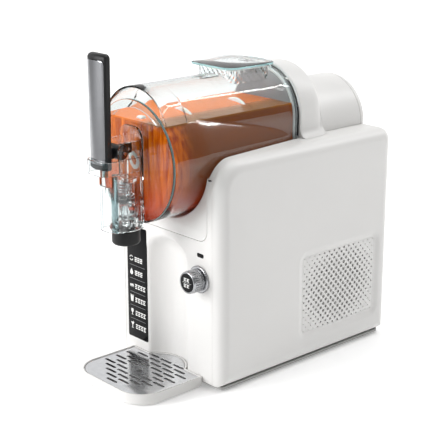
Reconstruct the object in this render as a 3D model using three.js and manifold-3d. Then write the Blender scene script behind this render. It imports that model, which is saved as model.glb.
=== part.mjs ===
// Counter-top slushie machine: cooled drum, auger, lever tap, drip tray and refrigeration unit.
// Millimetres, +Z up, the tap faces -Y. The group's origin is the middle of its footprint on the table.
import * as THREE from 'three';
import { mergeVertices } from 'three/addons/utils/BufferGeometryUtils.js';
import Module from 'manifold-3d';

const wasm = await Module();
wasm.setup();

// ---------------------------------------------------------------- driving dimensions
// Inside this file y = 0 is the front face of the body and z = 0 is the table.
const GAP = 0.3;                                   // clearance between touching pieces
const BODY = { half: 100, depth: 305, bottom: 6, top: 288, wall: 2.6 };
const EDGE = { seam: 84.2, round: 15.5, frontTop: 36, rearTop: 16, bottom: 5 };
const DRUM = { z: 283, front: -45.7, rear: 166, wide: 74.4, narrow: 58.6, taperFrom: 4, wall: 2.6 };
const DOME_STATIONS = [                            // y, radius, centre height of the upper dome
  [-45.7, 61.4, 311], [-12, 59, 313.5], [-10, 56, 316.5], [166, 58.6, 315],
];
const NECK = { half: 33, y: [76, 145], top: 381, round: 12, wall: 2.5 };
const LID = { half: 39.5, y: [69, 150], thick: 3, pivotY: 153.5, pivotZ: 380 };
const COVER = { y: [-49.9, -46], outletZ: 224, outletR: 8 };
const HOOD = { front: 168.3, rear: 213, radius: 62.6, z: 315, wall: 2.6, flare: 12 };
const CASE = { rear: 300, radius: 58.5, z: 290 };  // motor dome behind the hood
const AXLE = { r: 4, y: [-44, 246] };
const CHILLER = { r: 36, y: [14, 160] };
const AUGER = { inner: 37.6, outer: 54, pitch: 88, y: [4, 156], thick: 4 };
const TAP = { y: -62.2, bore: 11.4, outer: 13.4, bottom: 205, top: 262 };
const LEVER = { y: -76, z: 300, front: -102.4, back: -91.5, half: 17, foot: 281.5, tip: 416 };
const KNOB = { x: 62, z: 140.5, r: 14, base: 17, reach: 20.5 };
const PANEL = { x: [-79, -38.9], z: [26, 178.7] };
const SCOOP = { r: 42, y: -22, z: 152, crown: 30 };
const TRAY = { half: 67, front: -101, rear: -0.6, corner: 34, height: 15.4, wall: 2.2, floor: 2.4 };
const GRILLE = { y: [133.7, 285.1], z: [32.8, 151.8], corner: 14 };
const COLLAR = { half: 75.6, bottom: 188, corner: 14, hole: 76.5 };
const GEAR = { module: 2, wheel: 36, pinion: 9, y: [226, 234] };
const LIP_FRONT = -107;                            // foremost point of the tap's clear lip

// ---------------------------------------------------------------- finishes
const FINISH = {
  whiteShell: { color: 0xf1f1ef, roughness: 0.42, metalness: 0 },
  darkPlastic: { color: 0x1b1b1d, roughness: 0.5, metalness: 0 },
  pianoBlack: { color: 0x08080a, roughness: 0.12, metalness: 0 },
  clear: { color: 0xe9f3f3, roughness: 0.05, metalness: 0, transparent: true, opacity: 0.35 },
  steel: { color: 0xa9abad, roughness: 0.32, metalness: 1 },
  chrome: { color: 0xd7d9dc, roughness: 0.1, metalness: 1 },
  rubber: { color: 0x161616, roughness: 0.8, metalness: 0 },
  palePlastic: { color: 0xe4e6e4, roughness: 0.4, metalness: 0 },
  enamel: { color: 0x202225, roughness: 0.5, metalness: 0.3 },
  aluminium: { color: 0xb9bcc0, roughness: 0.45, metalness: 1 },
  copper: { color: 0xb8713f, roughness: 0.35, metalness: 1 },
  board: { color: 0x1f5a3a, roughness: 0.6, metalness: 0 },
};

// ---------------------------------------------------------------- solids
/** Signed volume of an indexed mesh; negative when its faces point inwards. */
function signedVolume(points, index) {
  let sum = 0;
  for (let i = 0; i < index.length; i += 3) {
    const [a, b, c] = [index[i] * 3, index[i + 1] * 3, index[i + 2] * 3];
    sum += points[a] * (points[b + 1] * points[c + 2] - points[b + 2] * points[c + 1]);
    sum += points[a + 1] * (points[b + 2] * points[c] - points[b] * points[c + 2]);
    sum += points[a + 2] * (points[b] * points[c + 1] - points[b + 1] * points[c]);
  }
  return sum / 6;
}

/** A manifold solid from a three.js geometry, with its faces turned outwards. */
function solid(geometry) {
  geometry.deleteAttribute('normal');
  geometry.deleteAttribute('uv');
  const merged = mergeVertices(geometry, 1e-4);
  const points = new Float32Array(merged.attributes.position.array);
  const index = Uint32Array.from(merged.index.array);
  if (signedVolume(points, index) < 0) {
    index.reverse();
  }
  return new wasm.Manifold(new wasm.Mesh({ numProp: 3, vertProperties: points, triVerts: index }));
}

/** A three.js geometry from a manifold solid. */
function geometryOf(body) {
  const raw = body.getMesh();
  const geometry = new THREE.BufferGeometry();
  geometry.setAttribute('position', new THREE.BufferAttribute(new Float32Array(raw.vertProperties), 3));
  geometry.setIndex(new THREE.BufferAttribute(new Uint32Array(raw.triVerts), 1));
  geometry.computeVertexNormals();
  return geometry;
}

const join = (...bodies) => bodies.reduce((sum, body) => sum.add(body));
const cut = (body, ...tools) => tools.reduce((left, tool) => left.subtract(tool), body);

/** Box between two limits on each axis. */
function box([x0, x1], [y0, y1], [z0, z1]) {
  const geometry = new THREE.BoxGeometry(x1 - x0, y1 - y0, z1 - z0);
  geometry.translate((x0 + x1) / 2, (y0 + y1) / 2, (z0 + z1) / 2);
  return solid(geometry);
}

const TURN = {                                     // shape x, shape y and depth for each extrusion axis
  x: [[0, 1, 0], [0, 0, 1], [1, 0, 0]],
  y: [[1, 0, 0], [0, 0, 1], [0, -1, 0]],
  z: [[1, 0, 0], [0, 1, 0], [0, 0, 1]],
};

/** Flat outline extruded along an axis between two limits. */
function slab(shape, axis, [low, high], curveSegments = 3) {
  const sweep = { depth: high - low, bevelEnabled: false, curveSegments };
  const geometry = new THREE.ExtrudeGeometry(shape, sweep);
  const basis = TURN[axis].map((v) => new THREE.Vector3(...v));
  geometry.applyMatrix4(new THREE.Matrix4().makeBasis(...basis));
  const start = axis === 'y' ? high : low;
  const offset = { x: 0, y: 0, z: 0, [axis]: start };
  geometry.translate(offset.x, offset.y, offset.z);
  return solid(geometry);
}

/** Rectangle with rounded corners: one radius, or four from low-x low-y, anticlockwise. */
function roundRect([x0, x1], [y0, y1], radius) {
  const [a, b, c, d] = Array.isArray(radius) ? radius : [radius, radius, radius, radius];
  const shape = new THREE.Shape();
  shape.moveTo(x0 + a, y0);
  shape.lineTo(x1 - b, y0);
  shape.absarc(x1 - b, y0 + b, b, -Math.PI / 2, 0, false);
  shape.absarc(x1 - c, y1 - c, c, 0, Math.PI / 2, false);
  shape.absarc(x0 + d, y1 - d, d, Math.PI / 2, Math.PI, false);
  shape.absarc(x0 + a, y0 + a, a, Math.PI, Math.PI * 1.5, false);
  return shape;
}

/** Slot outline: a rectangle whose ends are chamfered. */
function slotShape([x0, x1], [y0, y1]) {
  const [middle, nose] = [(y0 + y1) / 2, (y1 - y0) * 0.3];
  const corners = [
    [x0 + nose, y0], [x1 - nose, y0], [x1, middle - nose / 2], [x1, middle + nose / 2],
    [x1 - nose, y1], [x0 + nose, y1], [x0, middle + nose / 2], [x0, middle - nose / 2],
  ];
  return new THREE.Shape(corners.map(([x, y]) => new THREE.Vector2(x, y)));
}

/** Solid of revolution: closed profile of [radius, height] pairs about an axis through a centre. */
function turned(profile, axis, [cx, cy, cz] = [0, 0, 0], segments = 32) {
  const points = profile.map(([r, h]) => new THREE.Vector2(r, h));
  if (profile[0][0] > 0) {
    points.push(points[0].clone());
  }
  const geometry = new THREE.LatheGeometry(points, segments);
  if (axis === 'x') {
    geometry.rotateZ(-Math.PI / 2);
  }
  if (axis === 'z') {
    geometry.rotateX(Math.PI / 2);
  }
  geometry.translate(cx, cy, cz);
  return solid(geometry);
}

/** Round bar along an axis between two limits. */
function rod(axis, radius, [low, high], centre = [0, 0, 0], segments = 24) {
  return turned([[0, low], [radius, low], [radius, high], [0, high]], axis, centre, segments);
}

/** Skin through matching rings of points, closed by a flat fan at each end. */
function loft(rings) {
  const size = rings[0].length;
  const points = rings.flat();
  const index = [];
  for (let ring = 0; ring + 1 < rings.length; ring += 1) {
    for (let i = 0; i < size; i += 1) {
      const next = (i + 1) % size;
      const [a, b] = [ring * size + i, ring * size + next];
      index.push(a, b, b + size, a, b + size, a + size);
    }
  }
  for (const [ring, flip] of [[0, true], [rings.length - 1, false]]) {
    const hub = points.length;
    const sum = rings[ring].reduce((s, p) => s.map((v, k) => v + p[k]), [0, 0, 0]);
    points.push(sum.map((v) => v / size));
    for (let i = 0; i < size; i += 1) {
      const [a, b] = [ring * size + i, ring * size + ((i + 1) % size)];
      index.push(hub, flip ? b : a, flip ? a : b);
    }
  }
  const geometry = new THREE.BufferGeometry();
  geometry.setAttribute('position', new THREE.Float32BufferAttribute(points.flat(), 3));
  geometry.setIndex(index);
  return solid(geometry);
}

/** Skin between two matching level outlines of any shape, with triangulated ends. */
function prism(low, high) {
  const size = low.length;
  const points = [...low, ...high];
  const index = [];
  for (let i = 0; i < size; i += 1) {
    const next = (i + 1) % size;
    index.push(i, next, next + size, i, next + size, i + size);
  }
  const ends = THREE.ShapeUtils.triangulateShape(low.map(([x, y]) => new THREE.Vector2(x, y)), []);
  for (const [a, b, c] of ends) {
    index.push(c, b, a, a + size, b + size, c + size);
  }
  const geometry = new THREE.BufferGeometry();
  geometry.setAttribute('position', new THREE.Float32BufferAttribute(points.flat(), 3));
  geometry.setIndex(index);
  return solid(geometry);
}

/** Tube along points, made as an extruded ring of a few sides. */
function pipe(points, radius) {
  const stops = points.map((p) => new THREE.Vector3(...p));
  const path = new THREE.CatmullRomCurve3(stops, false, 'centripetal');
  const ring = new THREE.Shape();
  ring.absarc(0, 0, radius, 0, Math.PI * 2, false);
  const sweep = { steps: points.length * 4, curveSegments: 4, extrudePath: path };
  return solid(new THREE.ExtrudeGeometry(ring, sweep));
}

/** Adds one named mesh to a group. */
function add(group, name, body, finish, position = [0, 0, 0]) {
  const mesh = new THREE.Mesh(geometryOf(body), new THREE.MeshStandardMaterial(FINISH[finish]));
  mesh.name = name;
  mesh.position.set(...position);
  group.add(mesh);
  return mesh;
}

// ---------------------------------------------------------------- body
/** The body's side outline in Y and Z, pulled in by an inset, at one x. */
function sideRing(x, inset) {
  const [y0, y1] = [inset, BODY.depth - inset];
  const [z0, z1] = [BODY.bottom + inset, BODY.top - inset];
  const radii = [EDGE.bottom, EDGE.bottom, EDGE.rearTop, EDGE.frontTop].map((r) => Math.max(r - inset, 0.6));
  const corners = [
    [y0 + radii[0], z0 + radii[0], radii[0], Math.PI],
    [y1 - radii[1], z0 + radii[1], radii[1], Math.PI * 1.5],
    [y1 - radii[2], z1 - radii[2], radii[2], 0],
    [y0 + radii[3], z1 - radii[3], radii[3], Math.PI / 2],
  ];
  const steps = 4;
  return corners.flatMap(([cy, cz, r, from]) => Array.from({ length: steps + 1 }, (_, i) => {
    const angle = from + (Math.PI / 2) * (i / steps);
    return [x, cy + r * Math.cos(angle), cz + r * Math.sin(angle)];
  }));
}

/** Outer or inner form of one side shell: a thick plate with a quarter-round rim. */
function sideForm(wall) {
  const radius = EDGE.round - wall;
  const flat = BODY.half - wall;
  const steps = 4;
  const start = wall > 0 ? EDGE.seam - 5 : EDGE.seam + GAP;
  const rings = [sideRing(start, wall)];
  for (let i = 0; i <= steps; i += 1) {
    const angle = (Math.PI / 2) * (i / steps);
    rings.push(sideRing(flat - radius * (1 - Math.sin(angle)), wall + radius * (1 - Math.cos(angle))));
  }
  return loft(rings);
}

function sideShell() {
  const recess = slab(roundRect(GRILLE.y, GRILLE.z, GRILLE.corner), 'x', [BODY.half - 1.8, BODY.half + 1]);
  const inset = 4;
  const window = roundRect(
    [GRILLE.y[0] + inset, GRILLE.y[1] - inset],
    [GRILLE.z[0] + inset, GRILLE.z[1] - inset],
    GRILLE.corner - inset,
  );
  return cut(sideForm(0), sideForm(BODY.wall), recess, slab(window, 'x', [BODY.half - 6, BODY.half]));
}

function grillePlate() {
  const shape = roundRect(
    [GRILLE.y[0] + GAP, GRILLE.y[1] - GAP],
    [GRILLE.z[0] + GAP, GRILLE.z[1] - GAP],
    GRILLE.corner - GAP,
  );
  return slab(shape, 'x', [BODY.half - 1.5, BODY.half - 0.6]);
}

/** Radius of the drum's lower half at a depth. */
function drumRadius(y) {
  const t = Math.max(0, (y - DRUM.taperFrom) / (DRUM.rear - DRUM.taperFrom));
  return DRUM.wide + (DRUM.narrow - DRUM.wide) * t;
}

/** Round-bottomed trough that the drum lies in, grown by a clearance. */
function troughTool(grow, [y0, y1]) {
  const stops = [y0, DRUM.taperFrom, y1];
  const profile = [[0, y0], ...stops.map((y) => [drumRadius(y) + grow, y]), [0, y1]];
  const cone = turned(profile, 'y', [0, 0, DRUM.z], 48);
  const rings = stops.map((y) => {
    const half = drumRadius(y) + grow;
    return [[-half, y, DRUM.z], [half, y, DRUM.z], [half, y, BODY.top + 90], [-half, y, BODY.top + 90]];
  });
  return join(cone, loft(rings));
}

/** Upright half-round hollow behind the cup, with a domed top. */
function scoopTool(grow) {
  const radius = SCOOP.r + grow;
  const dome = new THREE.SphereGeometry(1, 28, 12);
  dome.scale(radius, radius, SCOOP.crown + grow);
  dome.translate(0, SCOOP.y, SCOOP.z);
  return join(rod('z', radius, [-20, SCOOP.z], [0, SCOOP.y, 0], 28), solid(dome));
}

function mainHousing() {
  const outer = loft([sideRing(-EDGE.seam, 0), sideRing(EDGE.seam, 0)]);
  const inside = EDGE.seam - BODY.wall;
  const roof = BODY.top - BODY.wall;
  const hollow = cut(
    box([-inside, inside], [BODY.wall, BODY.depth + 10], [-10, roof - 20]),
    troughTool(2.1 + BODY.wall, [-10, DRUM.rear + BODY.wall]),
    scoopTool(BODY.wall),
  );
  const atticDepth = [DRUM.rear + 2 * BODY.wall, BODY.depth - BODY.wall - 14];
  const attic = box([-inside, inside], atticDepth, [roof - 21, roof]);
  const rearWindow = box([-82.3, 82.3], [BODY.depth - 5, BODY.depth + 5], [8.3, 270.3]);
  const deckHole = box([-50, 50], [DRUM.rear + 8, 290], [roof - 5, BODY.top + 5]);
  const collarRound = [COLLAR.corner, COLLAR.corner, 1, 1];
  const collarOutline = roundRect([-COLLAR.half, COLLAR.half], [COLLAR.bottom, BODY.top + 20], collarRound);
  const collarHole = slab(collarOutline, 'y', [-5, 3]);
  const panelPocket = slab(roundRect(PANEL.x, PANEL.z, 3), 'y', [-5, 1.6], 2);
  const windowPocket = slab(roundRect([56.9, 69.5], [167.5, 173.5], 2.4), 'y', [-5, 1.4], 2);
  const latchPocket = slab(roundRect([77.4, 82.6], [265, 267.6], 1), 'y', [-5, 1.4], 1);
  return cut(
    outer,
    troughTool(2.1, [-5, DRUM.rear]),
    hollow,
    attic,
    rearWindow,
    deckHole,
    rod('y', 30, [DRUM.rear - 5, DRUM.rear + 20], [0, 0, DRUM.z]),
    scoopTool(0),
    collarHole,
    panelPocket,
    windowPocket,
    latchPocket,
    rod('y', 4.2, [-5, 10], [KNOB.x, 0, KNOB.z]),
  );
}

function rearPanel() {
  const plate = slab(roundRect([-82, 82], [8.6, 270], 3), 'y', [BODY.depth - 3.7, BODY.depth - 0.7]);
  const vents = [];
  for (let row = 0; row < 8; row += 1) {
    const z = 130 + row * 15;
    for (const side of [-1, 1]) {
      vents.push(slab(slotShape([side * 36 - 30, side * 36 + 30], [z, z + 5]), 'y', [290, 310]));
    }
  }
  const inletHole = box([44.7, 72.3], [290, 310], [35.7, 57.3]);
  const switchHole = box([9.7, 30.3], [290, 310], [39.7, 53.3]);
  return cut(plate, ...vents, inletHole, switchHole);
}

function drumCollar() {
  const gap = 0.45;
  const plate = slab(
    roundRect(
      [-COLLAR.half + gap, COLLAR.half - gap],
      [COLLAR.bottom + gap, DRUM.z + 6],
      [COLLAR.corner, COLLAR.corner, 1, 1],
    ),
    'y',
    [0, 2.7],
  );
  return cut(plate, rod('y', COLLAR.hole, [-5, 5], [0, 0, DRUM.z], 56));
}

// ---------------------------------------------------------------- hood and motor dome
/** Distance from a pole to an arch: a half circle on straight legs. */
function archReach(angle, poleZ, radius, centreZ, footZ) {
  const [dx, dz] = [Math.cos(angle), Math.sin(angle)];
  const rise = poleZ - centreZ;
  const onArc = -rise * dz + Math.sqrt(Math.max(0, radius * radius - rise * rise * dx * dx));
  if (poleZ + onArc * dz >= centreZ) {
    return onArc;
  }
  const toLeg = Math.abs(dx) > 1e-6 ? radius / Math.abs(dx) : Infinity;
  const toFoot = dz < -1e-6 ? (footZ - poleZ) / dz : Infinity;
  return Math.min(toLeg, toFoot);
}

/** Ring of points around several arches joined together, at one y. */
function archRing(y, arches, footZ, flare = 0) {
  const poleZ = footZ + 2;
  const count = 26;
  const ring = [];
  for (let i = 0; i <= count; i += 1) {
    const angle = Math.PI * (i / count);
    const reach = Math.max(...arches.map(([r, z]) => archReach(angle, poleZ, r, z, footZ)));
    const point = [reach * Math.cos(angle), y, poleZ + reach * Math.sin(angle)];
    const rise = Math.min(1, (point[2] - footZ) / Math.max(flare, 1));
    const spread = flare * (1 - Math.sqrt(Math.max(0, 1 - (1 - rise) ** 2)));
    point[0] += Math.sign(point[0]) * (Math.abs(point[0]) > 20 ? spread : 0);
    ring.push(point);
  }
  const half = Math.abs(ring[0][0]) + flare * 0.35;
  ring.push([-half, y, footZ]);
  ring.push([half, y, footZ]);
  return ring;
}

const HOOD_STATIONS = [                            // share of the hood's length, share of its radius lost
  [0, 0.012], [0.06, 0], [0.55, 0.004], [0.72, 0.02], [0.84, 0.05], [0.93, 0.1], [0.98, 0.16], [1, 0.24],
];

function ringHood() {
  const foot = BODY.top + GAP;
  const length = HOOD.rear - HOOD.front;
  const ringAt = (t, loss, wall, drop) => archRing(
    HOOD.front + length * t,
    [[HOOD.radius * (1 - loss) - wall, HOOD.z - loss * 40], [CASE.radius - wall, CASE.z]],
    foot - drop,
    wall > 0 ? 0 : HOOD.flare,
  );
  const outer = loft(HOOD_STATIONS.map(([t, loss]) => ringAt(t, loss, 0, 0)));
  const inner = loft([
    ringAt(-0.05, 0, HOOD.wall, 5),
    ...HOOD_STATIONS.slice(1).map(([t, loss]) => ringAt(t, loss + 0.004, HOOD.wall, 5)),
    ringAt(1.05, 0.24, HOOD.wall, 5),
  ]);
  return cut(outer, inner);
}

function motorDome() {
  const foot = BODY.top + GAP;
  const start = HOOD.rear + GAP;
  const round = 12;
  const form = (wall) => {
    const past = wall > 0 ? 5 : 0;
    const rings = [archRing(start - past, [[CASE.radius - wall, CASE.z]], foot - past)];
    for (let i = 0; i <= 4; i += 1) {
      const angle = (Math.PI / 2) * (i / 4);
      const y = CASE.rear - wall - round * (1 - Math.sin(angle));
      const radius = CASE.radius - wall - round * (1 - Math.cos(angle));
      rings.push(archRing(y, [[radius, CASE.z]], foot - (wall > 0 ? 5 : 0)));
    }
    return loft(rings);
  };
  return cut(form(0), form(HOOD.wall));
}

// ---------------------------------------------------------------- drum
/** Dome radius and centre height at a depth, read between the stations. */
function domeAt(y) {
  const last = DOME_STATIONS.length - 1;
  const found = DOME_STATIONS.findIndex(([stop]) => stop >= y);
  const next = found < 0 ? last : Math.max(1, found);
  const [y0, r0, z0] = DOME_STATIONS[next - 1];
  const [y1, r1, z1] = DOME_STATIONS[next];
  const t = Math.min(1, Math.max(0, (y - y0) / (y1 - y0)));
  return [r0 + (r1 - r0) * t, z0 + (z1 - z0) * t];
}

/** Ring of points around the drum: a round tub with a narrower dome rising out of it. */
function drumRing(y, inset) {
  const [domeR, domeZ] = domeAt(y);
  const tub = drumRadius(y) - inset;
  const count = 48;
  return Array.from({ length: count }, (_, i) => {
    const angle = Math.PI * 2 * (i / count);
    const dome = archReach(angle, DRUM.z, domeR - inset, domeZ, DRUM.z);
    const reach = Math.sin(angle) > 0 ? Math.max(tub, dome) : tub;
    return [reach * Math.cos(angle), y, DRUM.z + reach * Math.sin(angle)];
  });
}

function neckForm(inset, [z0, z1]) {
  const shape = roundRect(
    [-NECK.half + inset, NECK.half - inset],
    [NECK.y[0] + inset, NECK.y[1] - inset],
    NECK.round - inset,
  );
  return slab(shape, 'z', [z0, z1], 3);
}

function drumVessel() {
  const stops = [DRUM.front, -12, -10, DRUM.taperFrom, 60, 115, DRUM.rear];
  const outer = loft(stops.map((y) => drumRing(y, 0)));
  const innerStops = [DRUM.front + DRUM.wall, ...stops.slice(1, -1), DRUM.rear + 2];
  const inner = loft(innerStops.map((y) => drumRing(y, DRUM.wall)));
  const lugs = [-1, 1].map((side) => {
    const width = [side * 17 - 3.5, side * 17 + 3.5];
    return cut(
      join(
        box(width, [NECK.y[1] - 1, LID.pivotY + 3.4], [LID.pivotZ - 6, NECK.top]),
        box(width, [LID.pivotY - 2.2, LID.pivotY + 3.4], [LID.pivotZ - 1, LID.pivotZ + 2.7]),
      ),
      rod('x', 1.8, [-30, 30], [0, LID.pivotY, LID.pivotZ], 12),
    );
  });
  const mouth = rod('y', 64, [DRUM.front - 5, DRUM.front + 10], [0, 0, DRUM.z], 40);
  const filler = neckForm(NECK.wall, [340, NECK.top + 5]);
  return cut(join(outer, neckForm(0, [350, NECK.top]), ...lugs), inner, filler, mouth);
}

function frontCover() {
  const [y0, y1] = COVER.y;
  const rim = 1.2;
  const profile = [[0, y0], [DRUM.wide - rim, y0], [DRUM.wide, y0 + rim], [DRUM.wide, y1], [0, y1]];
  return cut(
    turned(profile, 'y', [0, 0, DRUM.z], 56),
    rod('y', COVER.outletR, [y0 - 5, y1 + 5], [0, 0, COVER.outletZ]),
  );
}

/** Ring of the drum's rear opening between two insets. */
function rearRing(outerInset, innerInset, [y0, y1]) {
  const at = (inset, a, b) => loft([drumRing(DRUM.rear, inset), drumRing(DRUM.rear, inset)].map(
    (ring, i) => ring.map(([x, , z]) => [x, i ? b : a, z]),
  ));
  const outer = at(outerInset, y0, y1);
  return innerInset ? cut(outer, at(innerInset, y0 - 1, y1 + 1)) : outer;
}

function lid() {
  const bottom = NECK.top + GAP;
  const plate = slab(roundRect([-LID.half, LID.half], LID.y, 14), 'z', [bottom, bottom + LID.thick], 4);
  const knuckle = rod('x', 3.4, [-12.5, 12.5], [0, LID.pivotY, LID.pivotZ], 16);
  const bridge = box([-12.5, 12.5], [LID.y[1] - 3, LID.pivotY], [bottom, bottom + LID.thick - 0.4]);
  return cut(join(plate, knuckle, bridge), rod('x', 1.8, [-30, 30], [0, LID.pivotY, LID.pivotZ], 12));
}

function lidSeal() {
  const inset = NECK.wall + GAP;
  return cut(neckForm(inset, [NECK.top - 3, NECK.top]), neckForm(inset + 2, [NECK.top - 9, NECK.top + 9]));
}

// ---------------------------------------------------------------- auger and drive
/** Helical blade of rectangular section about the y axis. */
function helix() {
  const turns = (AUGER.y[1] - AUGER.y[0] - AUGER.thick) / AUGER.pitch;
  const steps = Math.round(turns * 26);
  const rings = [];
  for (let i = 0; i <= steps; i += 1) {
    const angle = (i / steps) * turns * Math.PI * 2;
    const y = AUGER.y[0] + (i / steps) * turns * AUGER.pitch;
    const spoke = (r, dy) => [r * Math.cos(angle), y + dy, r * Math.sin(angle)];
    rings.push([
      spoke(AUGER.inner, 0),
      spoke(AUGER.outer, 0),
      spoke(AUGER.outer, AUGER.thick),
      spoke(AUGER.inner, AUGER.thick),
    ]);
  }
  return loft(rings);
}

function auger() {
  const hub = rod('y', 11, [-38, 11]);
  const spokes = box([-AUGER.outer, AUGER.outer], [3, 9], [-5, 5]);
  const paddle = box([-5, 5], [-38, -32], [-52, 52]);
  const tip = rod('y', AUGER.outer, [-60, 60], [0, 0, 0], 48);
  const bars = [0, Math.PI].map((angle) => box(
    [Math.cos(angle) * 50 - 3.5, Math.cos(angle) * 50 + 3.5],
    [3, 20],
    [-5, 5],
  ));
  const frame = join(hub, spokes, paddle, ...bars).intersect(tip);
  return cut(join(frame, helix()), rod('y', AXLE.r + 0.05, [-60, 60], [0, 0, 0], 24));
}

/** Spur gear about the y axis with a round bore. */
function spurGear(teeth, bore, phase) {
  const radius = (GEAR.module * teeth) / 2;
  const [tip, root] = [radius + GEAR.module * 0.85, radius - GEAR.module * 1.15];
  const shape = new THREE.Shape();
  const width = (Math.PI * 2) / teeth;
  for (let i = 0; i < teeth; i += 1) {
    const middle = phase + i * width;
    const flank = [[root, -0.29], [tip, -0.11], [tip, 0.11], [root, 0.29]];
    flank.forEach(([r, share], k) => {
      const angle = middle + share * width;
      const move = i === 0 && k === 0 ? 'moveTo' : 'lineTo';
      shape[move](r * Math.cos(angle), r * Math.sin(angle));
    });
  }
  shape.closePath();
  return cut(slab(shape, 'y', GEAR.y), rod('y', bore, [200, 260], [0, 0, 0], 20));
}

function driveShaft() {
  return rod('y', AXLE.r, AXLE.y, [0, 0, 0], 24);
}

function motorBracket() {
  const plate = box([-38, 38], [219, 222], [205, 312]);
  const wings = [-1, 1].map((side) => box([side * 36.5 - 1.5, side * 36.5 + 1.5], [172.5, 220], [206, 236]));
  return cut(
    join(plate, ...wings),
    rod('y', 6, [200, 240], [0, 0, DRUM.z]),
    rod('y', 5, [200, 240], [0, 0, DRUM.z - 45], 16),
  );
}

// ---------------------------------------------------------------- tap
/** U-shaped wall open to the rear, between two heights. */
function guardWall(half, front, radius, wall, z) {
  const outline = (inset) => roundRect(
    [-half + inset, half - inset],
    [front + inset, -40],
    [radius - inset, radius - inset, 0.5, 0.5],
  );
  const rear = box([-50, 50], [COVER.y[0] - GAP, 0], [z[0] - 5, z[1] + 5]);
  return cut(slab(outline(0), 'z', z, 4), slab(outline(wall), 'z', [z[0] - 1, z[1] + 1], 4), rear);
}

function tapHousing() {
  const back = COVER.y[0] - GAP;
  const plate = slab(roundRect([-21, 21], [206, 327], [4, 4, 14, 14]), 'y', [back - 2.6, back]);
  const barrel = rod('z', TAP.outer, [TAP.bottom, TAP.top + 4], [0, TAP.y, 0], 28);
  const flange = turned(
    [[0, 203.6], [19, 203.6], [20, 206], [18, 211], [TAP.outer, 217], [0, 217]],
    'z',
    [0, 0, 0],
    28,
  ).translate([0, TAP.y, 0]);
  const walls = guardWall(18.6, -93, 15, 2.4, [205, 260]);
  const cheeks = cut(guardWall(18.6, -93, 15, 2.4, [259, 277]), box([-12, 12], [-110, -80], [250, 300]));
  const ears = [-1, 1].map((side) => slab(
    roundRect([-84, back], [270, 312], [1, 1, 1, 9]),
    'x',
    side > 0 ? [16.2, 18.6] : [-18.6, -16.2],
  ));
  const lip = guardWall(20.8, LIP_FRONT, 13, 2, [276, 293]);
  const bore = rod('z', TAP.bore, [200, TAP.top], [0, TAP.y, 0], 28);
  return cut(
    join(plate, barrel, flange, walls, cheeks, ...ears, lip),
    bore,
    rod('z', 4.2, [250, 280], [0, TAP.y, 0], 20),
    rod('x', 2.3, [-30, 30], [0, LEVER.y, LEVER.z], 16),
    rod('y', COVER.outletR, [TAP.y, -30], [0, 0, COVER.outletZ]),
    box([-30, 30], [back, 0], [195, 340]),
  );
}

function tapPiston() {
  const body = turned(
    [
      [0, 206], [8, 206], [8.6, 208], [8.6, 211], [5, 214], [5, 236], [10.8, 236], [10.8, 237.6],
      [9.4, 238], [9.4, 242], [10.8, 242.4], [10.8, 246], [3.6, 246], [3.6, 290], [0, 290],
    ],
    'z',
    [0, 0, 0],
    20,
  );
  const eye = box([-3.4, 3.4], [-6.5, 6.5], [286, 307]);
  return cut(join(body, eye), box([-5, 5], [-4.2, 4], [297.9, 302.1])).translate([0, TAP.y, 0]);
}

/** Coil spring about the tap's axis. */
function tapSpring() {
  const [low, high] = [247.3, 260.8];
  const [turns, radius, wire] = [4, 7.6, 0.7];
  const points = [];
  for (let i = 0; i <= turns * 12; i += 1) {
    const angle = (i / 12) * Math.PI * 2;
    const z = low + (high - low) * (i / (turns * 12));
    points.push(new THREE.Vector3(radius * Math.cos(angle), TAP.y + radius * Math.sin(angle), z));
  }
  const ring = new THREE.Shape();
  ring.absarc(0, 0, wire, 0, Math.PI * 2, false);
  const extrudePath = new THREE.CatmullRomCurve3(points);
  return solid(new THREE.ExtrudeGeometry(ring, { steps: turns * 12, curveSegments: 3, extrudePath }));
}

/** Handle section: flat back, softly bowed front, grown or shrunk by an inset. */
function gripRing(z, half, front, back) {
  const steps = 10;
  const ring = [[half, back, z], [-half, back, z]];
  for (let i = 0; i <= steps; i += 1) {
    const x = -half + (2 * half * i) / steps;
    ring.push([x, front + 3.2 * (x / half) ** 2, z]);
  }
  return ring;
}

/** Half width of the grip at a height: it widens a little towards the tip. */
function gripHalf(z) {
  return LEVER.half - 1.6 * ((LEVER.tip - z) / (LEVER.tip - LEVER.foot));
}

function leverFrame() {
  const stops = [LEVER.foot, LEVER.foot + 3, 350, LEVER.tip - 6, LEVER.tip];
  const trims = [1.6, 0, 0, 0, 3];
  const grip = loft(stops.map((z, i) => {
    const trim = trims[i];
    return gripRing(z, gripHalf(z) - trim, LEVER.front + trim, LEVER.back);
  }));
  const knuckle = rod('x', 8.5, [-14, 14], [0, LEVER.y, LEVER.z], 28);
  const slot = box([-4.2, 4.2], [LEVER.y + 4.5, LEVER.y + 30], [LEVER.z - 15, LEVER.z + 15]);
  const arm = box([-8, 8], [LEVER.back - 2, LEVER.y - 6], [293, 307]);
  const fingers = [-1, 1].map((side) => {
    const width = [side * 6 - 1.6, side * 6 + 1.6];
    return box(width, [LEVER.y + 5, TAP.y + 6], [295, 305]);
  });
  return cut(
    join(cut(grip, faceForm(GAP, 6)), knuckle, arm, ...fingers),
    slot,
    rod('x', 2.05, [-30, 30], [0, LEVER.y, LEVER.z], 20),
    rod('x', 1.55, [-30, 30], [0, TAP.y, LEVER.z], 16),
  );
}

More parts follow.
